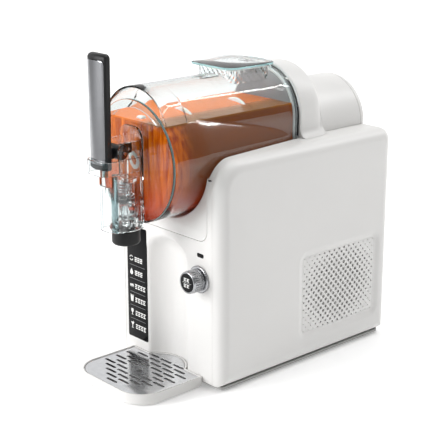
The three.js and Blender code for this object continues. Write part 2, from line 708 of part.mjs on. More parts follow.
/** Bowed face strip, grown by a clearance and reaching forward by a depth. */
function faceForm(grow, forward) {
  const rings = [288.9 - grow, 409.1 + grow].map((z) => {
    const half = gripHalf(z) - 2.1 + grow;
    const bow = Array.from({ length: 9 }, (_, i) => {
      const x = -half + (2 * half * i) / 8;
      return [x, LEVER.front + 3.2 * (x / LEVER.half) ** 2, z];
    });
    const front = bow.map(([x, y]) => [x, y - 0.5 - forward, z]);
    const back = bow.map(([x, y]) => [x, y + 0.7 + grow, z]).reverse();
    return [...front, ...back];
  });
  return prism(rings[0], rings[1]);
}

// ---------------------------------------------------------------- tray
/** Tray outline with rounded front corners and a half-round tongue at the rear. */
function trayShape(inset) {
  const half = TRAY.half - inset;
  const tongue = SCOOP.r - 0.8 - inset;
  const rear = TRAY.rear - inset;
  const meet = Math.acos((rear - SCOOP.y) / tongue);
  const shape = new THREE.Shape();
  const corner = TRAY.corner - inset;
  shape.moveTo(-half + corner, TRAY.front + inset);
  shape.lineTo(half - corner, TRAY.front + inset);
  shape.absarc(half - corner, TRAY.front + inset + corner, corner, -Math.PI / 2, 0, false);
  shape.lineTo(half, rear);
  shape.absarc(0, SCOOP.y, tongue, Math.PI / 2 - meet, Math.PI / 2 + meet, false);
  shape.lineTo(-half, rear);
  shape.absarc(-half + corner, TRAY.front + inset + corner, corner, Math.PI, Math.PI * 1.5, false);
  return shape;
}

function dripTray() {
  const ledge = 12;
  return cut(
    slab(trayShape(0), 'z', [0, TRAY.height], 5),
    slab(trayShape(TRAY.wall + 1.8), 'z', [TRAY.floor, TRAY.height + 5], 5),
    slab(trayShape(TRAY.wall), 'z', [ledge, TRAY.height + 5], 5),
  );
}

function dripGrid() {
  const plate = slab(trayShape(TRAY.wall + GAP), 'z', [12.3, 14.9], 5);
  const [rows, pitch, length, width] = [11, 8.6, 20, 4];
  const slots = [];
  for (let row = 0; row < rows; row += 1) {
    const y = -91 + row * pitch;
    const shift = row % 2 ? 12 : 0;
    for (const x of [-48, -24, 0, 24, 48].map((at) => at + shift)) {
      const reach = Math.abs(x) + length / 2;
      const nearHub = Math.hypot(Math.max(0, Math.abs(x) - length / 2), y + 48) < 13;
      const cornerCut = y < -70 ? 52 - (-70 - y) * 0.9 : 60;
      if (reach < cornerCut && !nearHub) {
        slots.push(slab(slotShape([x - length / 2, x + length / 2], [y, y + width]), 'z', [5, 20]));
      }
    }
  }
  const hub = rod('z', 3.4, [5, 20], [0, -46, 0], 16);
  return cut(plate, ...slots, hub);
}

// ---------------------------------------------------------------- refrigeration
function compressor() {
  return turned(
    [[0, 21], [30, 21], [36, 28], [36, 96], [31, 110], [18, 117], [0, 119]],
    'z',
    [0, 0, 0],
    22,
  );
}

function condenser() {
  const shape = new THREE.Shape();
  const [y0, fins, pitch, depth] = [150, 20, 6, 16];
  shape.moveTo(y0, 0);
  for (let i = 0; i < fins; i += 1) {
    const y = y0 + i * pitch;
    shape.lineTo(y, depth);
    shape.lineTo(y + 1.2, depth);
    shape.lineTo(y + 1.2, 3);
    shape.lineTo(y + pitch, 3);
  }
  shape.lineTo(y0 + fins * pitch, 0);
  shape.closePath();
  const comb = new THREE.ExtrudeGeometry(shape, { depth: 112, bevelEnabled: false });
  comb.applyMatrix4(new THREE.Matrix4().makeBasis(
    new THREE.Vector3(0, 1, 0),
    new THREE.Vector3(-1, 0, 0),
    new THREE.Vector3(0, 0, 1),
  ));
  comb.translate(78, 0, 34);
  return solid(comb);
}

function fanShroud() {
  const frame = box([44, 60], [158, 262], [40, 144]);
  return cut(frame, rod('x', 49, [30, 70], [0, 210, 92], 28));
}

function fanRotor() {
  const hub = rod('x', 15, [-7, 7]);
  const blades = Array.from({ length: 7 }, (_, i) => {
    const blade = box([-6, 6], [-1, 1], [12, 46]);
    return blade.rotate([0, 0, 35]).rotate([(360 / 7) * i, 0, 0]);
  });
  return cut(join(hub, ...blades), rod('x', 2.3, [-10, 3], [0, 0, 0], 12));
}

function fanMotor() {
  return join(
    rod('x', 16, [14, 40], [0, 210, 92], 24),
    rod('x', 2, [39, 51], [0, 210, 92], 12),
    box([20, 36], [206, 214], [8.9, 80]),
  );
}

// ---------------------------------------------------------------- assembly
const machine = new THREE.Group();
machine.position.set(0, -(LIP_FRONT + BODY.depth) / 2, 0);

const body = new THREE.Group();
machine.add(body);
const scoopCut = scoopTool(0.8);
const panPlate = slab(roundRect([-93, 93], [7, 298], 6), 'z', [2.6, BODY.bottom - GAP]);
add(body, 'base_pan', cut(panPlate, scoopCut), 'darkPlastic');
const footSpots = {
  foot_front_left: [-80, 30],
  foot_front_right: [80, 30],
  foot_rear_left: [-80, 272],
  foot_rear_right: [80, 272],
};
const footProfile = [[0, 0], [8.5, 0], [9.5, 1], [9.5, 2.3], [0, 2.3]];
for (const [name, [x, y]] of Object.entries(footSpots)) {
  add(body, name, turned(footProfile, 'z', [0, 0, 0], 24), 'rubber', [x, y, 0]);
}
add(body, 'main_housing', mainHousing(), 'whiteShell');
for (const [side, turn] of [['right', 1], ['left', -1]]) {
  const mirror = (solidBody) => (turn > 0 ? solidBody : solidBody.mirror([1, 0, 0]));
  add(body, `side_shell_${side}`, mirror(sideShell()), 'whiteShell');
  add(body, `side_grille_${side}`, mirror(grillePlate()), 'whiteShell');
}
add(body, 'rear_panel', rearPanel(), 'whiteShell');
add(body, 'drum_collar', drumCollar(), 'whiteShell');
add(body, 'collar_latch', slab(roundRect([77.8, 82.2], [265.4, 267.2], 0.8), 'y', [-0.4, 1.1], 3), 'darkPlastic');
add(body, 'touch_panel', slab(
  roundRect([PANEL.x[0] + GAP, PANEL.x[1] - GAP], [PANEL.z[0] + GAP, PANEL.z[1] - GAP], 2.7),
  'y',
  [-0.4, 1.3],
), 'pianoBlack');
const windowPlate = roundRect([57.2, 69.2], [167.8, 173.2], 2.1);
add(body, 'remote_window', slab(windowPlate, 'y', [-0.2, 1.1]), 'pianoBlack');
add(body, 'ring_hood', ringHood(), 'whiteShell');
add(body, 'motor_dome', motorDome(), 'whiteShell');

const knobGroup = new THREE.Group();
knobGroup.position.set(KNOB.x, 0, KNOB.z);
body.add(knobGroup);
add(knobGroup, 'knob_bezel', turned(
  [[KNOB.base - 6, -0.3], [KNOB.base, -0.3], [KNOB.base, -2.4], [KNOB.base - 1, -3.2], [KNOB.base - 6, -3.2]],
  'y',
  [0, 0, 0],
  28,
), 'chrome');
add(knobGroup, 'knob', cut(
  turned(
    [[0, -3.6], [KNOB.r, -3.6], [KNOB.r, -KNOB.reach + 1], [KNOB.r - 1, -KNOB.reach], [0, -KNOB.reach]],
    'y',
    [0, 0, 0],
    28,
  ),
  rod('y', KNOB.r - 2.2, [-KNOB.reach - 1, -KNOB.reach + 1.4], [0, 0, 0], 28),
  rod('y', 3.05, [-14, 0], [0, 0, 0], 16),
), 'chrome');
const capDepth = [-KNOB.reach - 0.1, -KNOB.reach + 1.1];
add(knobGroup, 'knob_cap', rod('y', KNOB.r - 2.6, capDepth, [0, 0, 0], 28), 'pianoBlack');
add(knobGroup, 'encoder_shaft', rod('y', 3, [-13.6, 5], [0, 0, 0], 16), 'steel');
add(knobGroup, 'encoder_body', box([-7, 7], [5.3, 13], [-7, 7]), 'darkPlastic');

const axis = new THREE.Group();
axis.position.set(0, 0, DRUM.z);
machine.add(axis);
add(axis, 'auger', auger(), 'palePlastic');
add(axis, 'drive_shaft', driveShaft(), 'steel');
add(axis, 'drive_gear', spurGear(GEAR.wheel, AXLE.r + 0.05, 0), 'palePlastic');
const bushProfile = [[4.3, -45.7], [9, -45.7], [9, -39], [4.3, -39]];
const sealProfile = [[4.3, 165.9], [12, 165.9], [12, 171], [4.3, 171]];
add(axis, 'front_bush', turned(bushProfile, 'y', [0, 0, 0], 24), 'palePlastic');
add(axis, 'shaft_seal', turned(sealProfile, 'y', [0, 0, 0], 24), 'rubber');
const [cr, [c0, c1]] = [CHILLER.r, CHILLER.y];
add(axis, 'evaporator', turned(
  [[6, c0], [cr - 2, c0], [cr, c0 + 2], [cr, c1], [cr - 1.5, c1], [cr - 1.5, c0 + 3], [8, c0 + 3], [8, c1], [6, c1]],
  'y',
  [0, 0, 0],
  24,
), 'steel');
const pinionDrop = -(GEAR.module * (GEAR.wheel + GEAR.pinion)) / 2;
const pinion = join(
  spurGear(GEAR.pinion, 2, Math.PI / 2 + Math.PI / GEAR.pinion),
  rod('y', 3, [218.9, 234], [0, 0, 0], 16),
);
add(axis, 'motor_pinion', pinion, 'steel', [0, 0, pinionDrop]);
add(axis, 'drive_motor', cut(
  rod('y', 22, [173, 218.6], [0, 0, 0], 20),
  rod('y', 4, [210, 220], [0, 0, 0], 12),
), 'aluminium', [0, 0, pinionDrop]);

add(machine, 'motor_bracket', motorBracket(), 'aluminium');
add(machine, 'rear_bulkhead', cut(
  rearRing(DRUM.wall + 2.6, 0, [160.4, 165.5]),
  rod('y', 5, [150, 170], [0, 0, DRUM.z]),
), 'enamel');
add(machine, 'drum_gasket', rearRing(DRUM.wall + 0.3, DRUM.wall + 2.3, [161, 165]), 'rubber');

const drum = new THREE.Group();
machine.add(drum);
add(drum, 'drum_vessel', drumVessel(), 'clear');
add(drum, 'front_cover', frontCover(), 'clear');
add(drum, 'lid', lid(), 'clear');
add(drum, 'lid_seal', lidSeal(), 'palePlastic');
add(drum, 'lid_pin', rod('x', 1.5, [-20, 20], [0, LID.pivotY, LID.pivotZ], 16), 'steel');
add(drum, 'tap_housing', tapHousing(), 'clear');
add(drum, 'nozzle', turned(
  [[9, 185], [15, 185], [17, 187.5], [17, 203.2], [9, 203.2]],
  'z',
  [0, 0, 0],
  28,
), 'darkPlastic', [0, TAP.y, 0]);
add(drum, 'tap_piston', tapPiston(), 'clear');
add(drum, 'piston_seal', turned(
  [[9.5, 238.3], [10.9, 238.3], [11.2, 240], [10.9, 241.7], [9.5, 241.7]],
  'z',
  [0, 0, 0],
  28,
), 'rubber', [0, TAP.y, 0]);
add(drum, 'tap_spring', tapSpring(), 'steel');
add(drum, 'lever_frame', leverFrame(), 'darkPlastic');
add(drum, 'lever_face', faceForm(0, 0), 'steel');
add(drum, 'lever_pin', rod('x', 2, [-20, 20], [0, LEVER.y, LEVER.z], 16), 'steel');
add(drum, 'link_pin', rod('x', 1.5, [-8.4, 8.4], [0, TAP.y, LEVER.z], 16), 'steel');

const tray = new THREE.Group();
machine.add(tray);
add(tray, 'drip_tray', dripTray(), 'whiteShell');
add(tray, 'drip_grid', dripGrid(), 'steel');

const cooling = new THREE.Group();
machine.add(cooling);
add(cooling, 'compressor', compressor(), 'enamel', [-32, 90, -12]);
add(cooling, 'condenser', condenser(), 'aluminium');
add(cooling, 'fan_shroud', fanShroud(), 'darkPlastic');
add(cooling, 'fan_rotor', fanRotor(), 'darkPlastic', [52.5, 210, 92]);
add(cooling, 'fan_motor', fanMotor(), 'enamel');
add(cooling, 'control_board', box([-76, -42], [8, 9.6], [30, 175]), 'board');
const dischargeRoute = [[-32, 90, 108], [-30, 92, 132], [20, 140, 158], [66, 158, 158], [71, 165, 150]];
const suctionRoute = [
  [-45, 110, 110], [-50, 120, 132], [-44, 152, 176], [-29, 180, 206],
  [-29, 187, 245], [-24, 188, 270], [-20, 180, 282], [-20, 167, 283],
];
add(cooling, 'discharge_line', pipe(dischargeRoute, 2.4), 'copper');
add(cooling, 'suction_line', pipe(suctionRoute, 3), 'copper');

const inletBlock = box([45, 72], [284, 304.8], [36, 57]);
add(cooling, 'power_inlet', cut(inletBlock, box([48, 69], [290, 310], [39, 54])), 'darkPlastic');
const switchBlock = box([10, 30], [288, 304.8], [40, 53]);
add(cooling, 'switch_frame', cut(switchBlock, box([12, 28], [290, 310], [42, 51])), 'darkPlastic');
const rocker = new THREE.Shape([
  [-6.9, -4], [6.9, -4], [6.9, 2.4], [0, 1.4], [-6.9, 3.8],
].map(([x, y]) => new THREE.Vector2(x, y)));
add(cooling, 'rocker_switch', slab(rocker, 'z', [42.6, 50.4]), 'darkPlastic', [20, 299, 0]);

export default machine;
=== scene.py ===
"""Counter-top slushie machine, dressed around its packed mechanical frame.

Lengths are millimetres from the cabinet's front face, and Form turns them to metres.
"""
import logging
import math
from collections.abc import Callable, Sequence
from dataclasses import dataclass, field
from enum import Enum
from functools import partial

import bmesh
import bpy
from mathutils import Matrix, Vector


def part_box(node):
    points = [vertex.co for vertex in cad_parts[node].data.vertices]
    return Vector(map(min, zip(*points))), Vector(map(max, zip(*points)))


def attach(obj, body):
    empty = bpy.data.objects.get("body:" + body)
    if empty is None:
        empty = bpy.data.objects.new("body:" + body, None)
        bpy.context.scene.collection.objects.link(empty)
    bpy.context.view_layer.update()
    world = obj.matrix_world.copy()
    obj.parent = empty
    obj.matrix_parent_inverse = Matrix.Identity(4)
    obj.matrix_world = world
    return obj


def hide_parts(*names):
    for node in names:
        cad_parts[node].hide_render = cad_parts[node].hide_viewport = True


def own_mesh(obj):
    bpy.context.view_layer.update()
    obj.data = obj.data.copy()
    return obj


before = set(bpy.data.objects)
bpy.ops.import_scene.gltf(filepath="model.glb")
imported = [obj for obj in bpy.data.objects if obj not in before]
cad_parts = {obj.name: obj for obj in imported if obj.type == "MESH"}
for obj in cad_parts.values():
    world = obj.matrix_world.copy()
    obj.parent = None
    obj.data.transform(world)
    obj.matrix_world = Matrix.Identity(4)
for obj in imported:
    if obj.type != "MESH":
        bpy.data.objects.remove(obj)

LOG = logging.getLogger("slushie_machine")
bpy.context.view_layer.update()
FRONT_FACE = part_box("main_housing")[0].y
MM = 0.001

Flat = tuple[float, float]
Point = tuple[float, float, float]
Outline = list[Flat]
Ring = list[Point]
QUARTER = math.pi / 2
SHRINKING = (1.0, 1.0, 1.0, 1.0)  # corners whose radii shrink as their outline is pulled in
STEADY = (0.0, 0.0, 0.0, 0.0)  # corners that keep their radii


class Axis(Enum):
    """Direction that an outline is extruded or turned along."""

    X = 0
    Y = 1
    Z = 2


class Join(Enum):
    """How one form acts on another."""

    CUT = "DIFFERENCE"
    ADD = "UNION"
    KEEP = "INTERSECT"


# ---------------------------------------------------------------- outlines and forms
def limits(node: str) -> tuple[Point, Point]:
    """Lowest and highest corner of a frame node.

    Args:
        node: The node's name.

    Returns:
        Two corners in millimetres from the cabinet's front face.
    """
    low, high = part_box(node)
    return tuple(tuple((p - Vector((0, FRONT_FACE, 0))) / MM) for p in (low, high))


def place(flat: Flat, level: float, axis: Axis) -> Point:
    """A point of a flat outline set at a level along an axis.

    Args:
        flat: The outline's two coordinates, in the order of the other two axes.
        level: Distance along the axis.
        axis: Axis that the outline faces.

    Returns:
        The point in space.
    """
    point = list(flat)
    point.insert(axis.value, level)
    return tuple(point)


def circle(radius: float, steps: int, centre: Flat = (0.0, 0.0), start: float = 0.0) -> Outline:
    """Round outline.

    Args:
        radius: Radius.
        steps: Number of points.
        centre: Middle of the circle.
        start: Angle of the first point.

    Returns:
        The outline, anticlockwise.
    """
    turn = [start + math.tau * i / steps for i in range(steps)]
    return [(centre[0] + radius * math.cos(a), centre[1] + radius * math.sin(a)) for a in turn]


def four(radii: float | Sequence[float]) -> list[float]:
    """One radius for all four corners, or the four given."""
    return [float(radii)] * 4 if isinstance(radii, (int, float)) else list(radii)


def round_rect(across: Flat, up: Flat, radii: float | Sequence[float], steps: int = 8) -> Outline:
    """Rectangle with rounded corners.

    Args:
        across: Lower and upper limit of the first coordinate.
        up: Lower and upper limit of the second coordinate.
        radii: One corner radius, or four, anticlockwise from the low corner.
        steps: Steps of each corner's arc.

    Returns:
        The outline, anticlockwise, with the same number of points at every corner.
    """
    r = [max(value, 0.02) for value in four(radii)]
    middles = [
        (across[0] + r[0], up[0] + r[0]),
        (across[1] - r[1], up[0] + r[1]),
        (across[1] - r[2], up[1] - r[2]),
        (across[0] + r[3], up[1] - r[3]),
    ]
    outline = []
    for i, (cx, cy) in enumerate(middles):
        for k in range(steps + 1):
            a = math.pi * (1 + i / 2 + k / steps / 2)
            outline.append((cx + r[i] * math.cos(a), cy + r[i] * math.sin(a)))
    return outline


def rounded(
    across: Flat,
    up: Flat,
    radii: float | Sequence[float],
    steps: int = 8,
    shrink: Sequence[float] = SHRINKING,
) -> Callable[[float], Outline]:
    """Rectangle with rounded corners that can be pulled in.

    Args:
        across: Lower and upper limit of the first coordinate.
        up: Lower and upper limit of the second coordinate.
        radii: One corner radius, or four, anticlockwise from the low corner.
        steps: Steps of each corner's arc.
        shrink: Share of an inset that each corner's radius loses.

    Returns:
        A function that gives the outline at an inset.
    """

    def outline(inset: float) -> Outline:
        """The outline at an inset."""
        pulled = [radius - share * inset for radius, share in zip(four(radii), shrink)]
        return round_rect(
            (across[0] + inset, across[1] - inset), (up[0] + inset, up[1] - inset), pulled, steps
        )

    return outline


def filleted(profile: Sequence[Flat], radius: float, steps: int = 4, loop: bool = False) -> Outline:
    """Profile whose corners turn on small arcs.

    Args:
        profile: Corners of the profile.
        radius: Distance from each corner at which its arc starts.
        steps: Steps of each arc.
        loop: True if the last point meets the first.

    Returns:
        The softened profile.
    """
    soft = []
    for i, corner in enumerate(profile):
        if not loop and i in (0, len(profile) - 1):
            soft.append(tuple(corner))
            continue
        p = Vector(corner)
        u = Vector(profile[i - 1]) - p
        v = Vector(profile[(i + 1) % len(profile)]) - p
        reach = min(radius, 0.45 * u.length, 0.45 * v.length)
        first, last = p + u.normalized() * reach, p + v.normalized() * reach
        for k in range(steps + 1):
            t = k / steps
            q = first * (1 - t) ** 2 + p * 2 * t * (1 - t) + last * t * t
            soft.append((q.x, q.y))
    return soft


@dataclass
class Form:
    """A closed skin of points and faces, in millimetres."""

    points: list[Point] = field(default_factory=list)
    faces: list[tuple[int, ...]] = field(default_factory=list)

    def take(self, other: "Form") -> "Form":
        """Adds another form beside this one.

        Args:
            other: The form to add.

        Returns:
            This form.
        """
        start = len(self.points)
        self.points += other.points
        self.faces += [tuple(i + start for i in face) for face in other.faces]
        return self

    def moved(self, by: Point) -> "Form":
        """This form shifted.

        Args:
            by: The shift.

        Returns:
            A new form.
        """
        shifted = [(x + by[0], y + by[1], z + by[2]) for x, y, z in self.points]
        return Form(shifted, list(self.faces))

    def mirrored(self, side: int) -> "Form":
        """This form, mirrored to the left if the side is negative.

        Args:
            side: 1 for the right side as it is, -1 for the left.

        Returns:
            A new form.
        """
        return Form([(x * side, y, z) for x, y, z in self.points], list(self.faces))

    def mesh(self, name: str) -> bpy.types.Object:
        """Makes a Blender object of the form.

        Args:
            name: Name of the object.

        Returns:
            The object, in metres, with its faces turned outwards.
        """
        data = bpy.data.meshes.new(name)
        metres = [(x * MM, y * MM + FRONT_FACE, z * MM) for x, y, z in self.points]
        data.from_pydata(metres, [], self.faces)
        shape = bmesh.new()
        shape.from_mesh(data)
        bmesh.ops.remove_doubles(shape, verts=shape.verts, dist=1e-7)
        bmesh.ops.recalc_face_normals(shape, faces=shape.faces)
        shape.to_mesh(data)
        shape.free()
        made = bpy.data.objects.new(name, data)
        bpy.context.scene.collection.objects.link(made)
        return made


def loft(rings: Sequence[Ring], loop: bool = False) -> Form:
    """Skin through matching rings.

    Args:
        rings: Rings with the same number of points each.
        loop: True if the last ring meets the first, and False to close both ends.

    Returns:
        The form.
    """
    size = len(rings[0])
    faces = []
    for i in range(len(rings) if loop else len(rings) - 1):
        low, high = i * size, ((i + 1) % len(rings)) * size
        for k in range(size):
            n = (k + 1) % size
            faces.append((low + k, low + n, high + n, high + k))
    if not loop:
        faces.append(tuple(reversed(range(size))))
        faces.append(tuple(range((len(rings) - 1) * size, len(rings) * size)))
    return Form([p for ring in rings for p in ring], faces)


def plate(
    outline: Callable[[float], Outline], axis: Axis, span: Flat, edge: float, steps: int = 3
) -> Form:
    """Flat piece with rounded rims.

    Args:
        outline: Gives the outline pulled in by an inset.
        axis: Axis that the piece faces.
        span: Lower and upper limit along the axis.
        edge: Radius of the rims.
        steps: Steps of each rim.

    Returns:
        The form.
    """
    turn = [QUARTER * k / steps for k in range(steps + 1)]
    levels = [(edge * (1 - math.sin(a)), span[0] + edge * (1 - math.cos(a))) for a in turn]
    levels += [(inset, span[0] + span[1] - level) for inset, level in reversed(levels)]
    return loft([[place(p, level, axis) for p in outline(inset)] for inset, level in levels])


def block(x: Flat, y: Flat, z: Flat, edge: float = 0.0) -> Form:
    """Rectangular form.

    Args:
        x: Limits across.
        y: Limits in depth.
        z: Limits in height.
        edge: Radius of its edges.

    Returns:
        The form.
    """
    if edge <= 0:
        flat = [(x[0], y[0]), (x[1], y[0]), (x[1], y[1]), (x[0], y[1])]
        return loft([[(*p, level) for p in flat] for level in z])
    return plate(rounded(x, y, edge, 3, STEADY), Axis.Z, z, edge)


def turned(
    profile: Sequence[Flat], axis: Axis, centre: Point = (0, 0, 0), steps: int = 64, hollow: bool = False
) -> Form:
    """Solid of revolution.

    Args:
        profile: Pairs of radius and height along the axis.
        axis: Axis of revolution.
        centre: Point that the axis passes through and heights are counted from.
        steps: Number of facets round the axis.
        hollow: True for a ring, whose profile closes on itself.

    Returns:
        The form.
    """
    rings = [
        [place(p, height, axis) for p in circle(max(radius, 0.01), steps)] for radius, height in profile
    ]
    return loft(rings, loop=hollow).moved(centre)


def rod(axis: Axis, radius: float, span: Flat, centre: Point = (0, 0, 0), steps: int = 48) -> Form:
    """Round bar.

    Args:
        axis: The bar's axis.
        radius: Radius.
        span: Limits along the axis, from the centre.
        centre: Point that the axis passes through.
        steps: Number of facets.

    Returns:
        The form.
    """
    return turned([(radius, span[0]), (radius, span[1])], axis, centre, steps)


def tube(path: Sequence[Point], radius: float, sides: int = 12) -> Form:
    """Round wire along a path.

    Args:
        path: Points of its middle line.
        radius: Radius of the wire.
        sides: Number of facets round it.

    Returns:
        The form.
    """
    rings = []
    side = Vector((0.3, 0.2, 0.93))
    for i, here in enumerate(path):
        before, after = path[max(i - 1, 0)], path[min(i + 1, len(path) - 1)]
        along = (Vector(after) - Vector(before)).normalized()
        side = (side - along * side.dot(along)).normalized()
        other = along.cross(side)
        ring = [Vector(here) + side * a + other * b for a, b in circle(radius, sides)]
        rings.append([tuple(p) for p in ring])
    return loft(rings)


def shaped(base: bpy.types.Object, steps: Sequence[tuple[Join, Sequence[Form]]]) -> bpy.types.Object:
    """Cuts forms from an object or joins them to it.

    Args:
        base: The object to work on.
        steps: What to do, in order, with which forms.

    Returns:
        The same object with its new mesh.
    """
    tools = []
    for join, forms in steps:
        for form in forms:
            tool = form.mesh("tool")
            tools.append(tool)
            step = base.modifiers.new("form", "BOOLEAN")
            step.operation = join.value
            step.solver = "EXACT"
            step.object = tool
    evaluated = base.evaluated_get(bpy.context.evaluated_depsgraph_get())
    result = bpy.data.meshes.new_from_object(evaluated)
    base.modifiers.clear()
    base.data = result
    for tool in tools:
        bpy.data.objects.remove(tool)
    return base


def softened(made: bpy.types.Object, width: float, angle: float = 35, steps: int = 2) -> bpy.types.Object:
    """Rounds the sharp edges of an object.

    Args:
        made: The object.
        width: Width of the rounding.
        angle: Edges sharper than this many degrees are rounded.
        steps: Steps of the rounding.

    Returns:
        The same object.
    """
    bevel = made.modifiers.new("softened", "BEVEL")
    bevel.width = width * MM
    bevel.segments = steps
    bevel.limit_method = "ANGLE"
    bevel.angle_limit = math.radians(angle)
    bevel.harden_normals = True
    bevel.use_clamp_overlap = True
    return made


# ---------------------------------------------------------------- finishes
def linear(hex_colour: str, alpha: float = 1.0) -> tuple[float, float, float, float]:
    """Linear colour of an sRGB hex value.

    Args:
        hex_colour: Such as "#f2f1ee".
        alpha: Alpha of the result.

    Returns:
        Red, green, blue and alpha.
    """
    parts = [int(hex_colour[i : i + 2], 16) / 255 for i in (1, 3, 5)]
    red, green, blue = [c / 12.92 if c <= 0.04045 else ((c + 0.055) / 1.055) ** 2.4 for c in parts]
    return red, green, blue, alpha


def add_node(
    tree: bpy.types.NodeTree, kind: str, settings: dict | None = None, links: dict | None = None
) -> bpy.types.Node:
    """Adds a shader node.

    Args:
        tree: The material's node tree.
        kind: The node's type name.
        settings: Values by input name or number, or by the node's own property.
        links: Output sockets by the input that they feed.

    Returns:
        The node.
    """
    made = tree.nodes.new(kind)
    for key, value in (settings or {}).items():
        if isinstance(key, int) or key in made.inputs:
            made.inputs[key].default_value = value
        else:
            setattr(made, key, value)
    for key, socket in (links or {}).items():
        tree.links.new(socket, made.inputs[key])
    return made


@dataclass(frozen=True)
class Grain:
    """Fine random relief of a surface."""

    size: float = 0.5  # one bump, mm
    depth: float = 0.012  # mm
    stretch: Point = (1.0, 1.0, 1.0)  # how many times longer a bump is along each axis
    detail: float = 3.0


@dataclass(frozen=True)
class Finish:
    """One finish: a colour, a gloss and a surface relief."""

    name: str
    colour: str
    shade: str  # second colour that the first wanders to
    roughness: float
    wander: float = 40.0  # distance over which colour and gloss wander, mm
    gloss_change: float = 0.04
    metallic: float = 0.0
    ior: float = 1.5
    specular: float = 0.5
    grain: Grain = Grain()
    extra: tuple[tuple[str, float], ...] = ()

    def material(self) -> bpy.types.Material:
        """The Blender material of this finish, made once.

        Returns:
            The material.
        """
        known = bpy.data.materials.get(self.name)
        if known:
            return known
        made = bpy.data.materials.new(self.name)
        made.use_nodes = True
        tree = made.node_tree
        tree.nodes.clear()
        output = add_node(tree, "ShaderNodeOutputMaterial")
        tree.links.new(self.surface(tree), output.inputs["Surface"])
        made.diffuse_color = linear(self.colour)
        return made

    def patches(self, tree: bpy.types.NodeTree) -> bpy.types.NodeSocket:
        """Slow random patches over the piece.

        Args:
            tree: The node tree.

        Returns:
            A socket from 0 to 1.
        """
        where = add_node(tree, "ShaderNodeTexCoord")
        scale = 1 / (self.wander * MM)
        noise = add_node(
            tree, "ShaderNodeTexNoise", {"Scale": scale, "Detail": 2.0}, {"Vector": where.outputs["Object"]}
        )
        return noise.outputs["Fac"]

    def pattern(self, tree: bpy.types.NodeTree) -> bpy.types.NodeSocket:
        """Random pattern of the finish's grain.

        Args:
            tree: The node tree.

        Returns:
            A socket from 0 to 1.
        """
        where = add_node(tree, "ShaderNodeTexCoord")
        scale = tuple(1 / (self.grain.size * MM * s) for s in self.grain.stretch)
        mapped = add_node(tree, "ShaderNodeMapping", {"Scale": scale}, {"Vector": where.outputs["Object"]})
        settings = {"Scale": 1.0, "Detail": self.grain.detail}
        noise = add_node(tree, "ShaderNodeTexNoise", settings, {"Vector": mapped.outputs["Vector"]})
        return noise.outputs["Fac"]

    def relief(self, tree: bpy.types.NodeTree) -> bpy.types.NodeSocket:
        """Bump of the finish's grain.

        Args:
            tree: The node tree.

        Returns:
            A normal socket.
        """
        settings = {"Strength": 1.0, "Distance": self.grain.depth * MM}
        bump = add_node(tree, "ShaderNodeBump", settings, {"Height": self.pattern(tree)})
        return bump.outputs["Normal"]

    def surface(self, tree: bpy.types.NodeTree) -> bpy.types.NodeSocket:
        """The finish's shader.

        Args:
            tree: The node tree.

        Returns:
            A shader socket.
        """
        patches = self.patches(tree)
        tint = add_node(
            tree,
            "ShaderNodeMix",
            {"data_type": "RGBA", 6: linear(self.colour), 7: linear(self.shade)},
            {0: patches},
        )
        gloss = add_node(
            tree,
            "ShaderNodeMapRange",
            {
                "To Min": max(self.roughness - self.gloss_change, 0.0),
                "To Max": self.roughness + self.gloss_change,
            },
            {"Value": patches},
        )
        settings = {
            "Metallic": self.metallic,
            "IOR": self.ior,
            "Specular IOR Level": self.specular,
            **dict(self.extra),
        }
        links = {
            "Base Color": tint.outputs[2],
            "Roughness": gloss.outputs["Result"],
            "Normal": self.relief(tree),
        }
        return add_node(tree, "ShaderNodeBsdfPrincipled", settings, links).outputs["BSDF"]


@dataclass(frozen=True)
class ClearFinish(Finish):
    """A see-through finish, which lets lamps reach what is behind it."""

    through: str = "#ffffff"

    def surface(self, tree: bpy.types.NodeTree) -> bpy.types.NodeSocket:
        """Clear shader, with plain see-through in place of its shadow.

        Args:
            tree: The node tree.

        Returns:
            A shader socket.
        """
        clear = add_node(
            tree,
            "ShaderNodeBsdfPrincipled",
            {
                "Base Color": linear(self.colour),
                "Roughness": self.roughness,
                "IOR": self.ior,
                "Transmission Weight": 1.0,
                **dict(self.extra),
            },
            {"Normal": self.relief(tree)},
        )
        passed = add_node(tree, "ShaderNodeBsdfTransparent", {"Color": linear(self.through)})
        ray = add_node(tree, "ShaderNodeLightPath")
        mix = add_node(
            tree,
            "ShaderNodeMixShader",
            {},
            {0: ray.outputs["Is Shadow Ray"], 1: clear.outputs["BSDF"], 2: passed.outputs["BSDF"]},
        )
        return mix.outputs["Shader"]


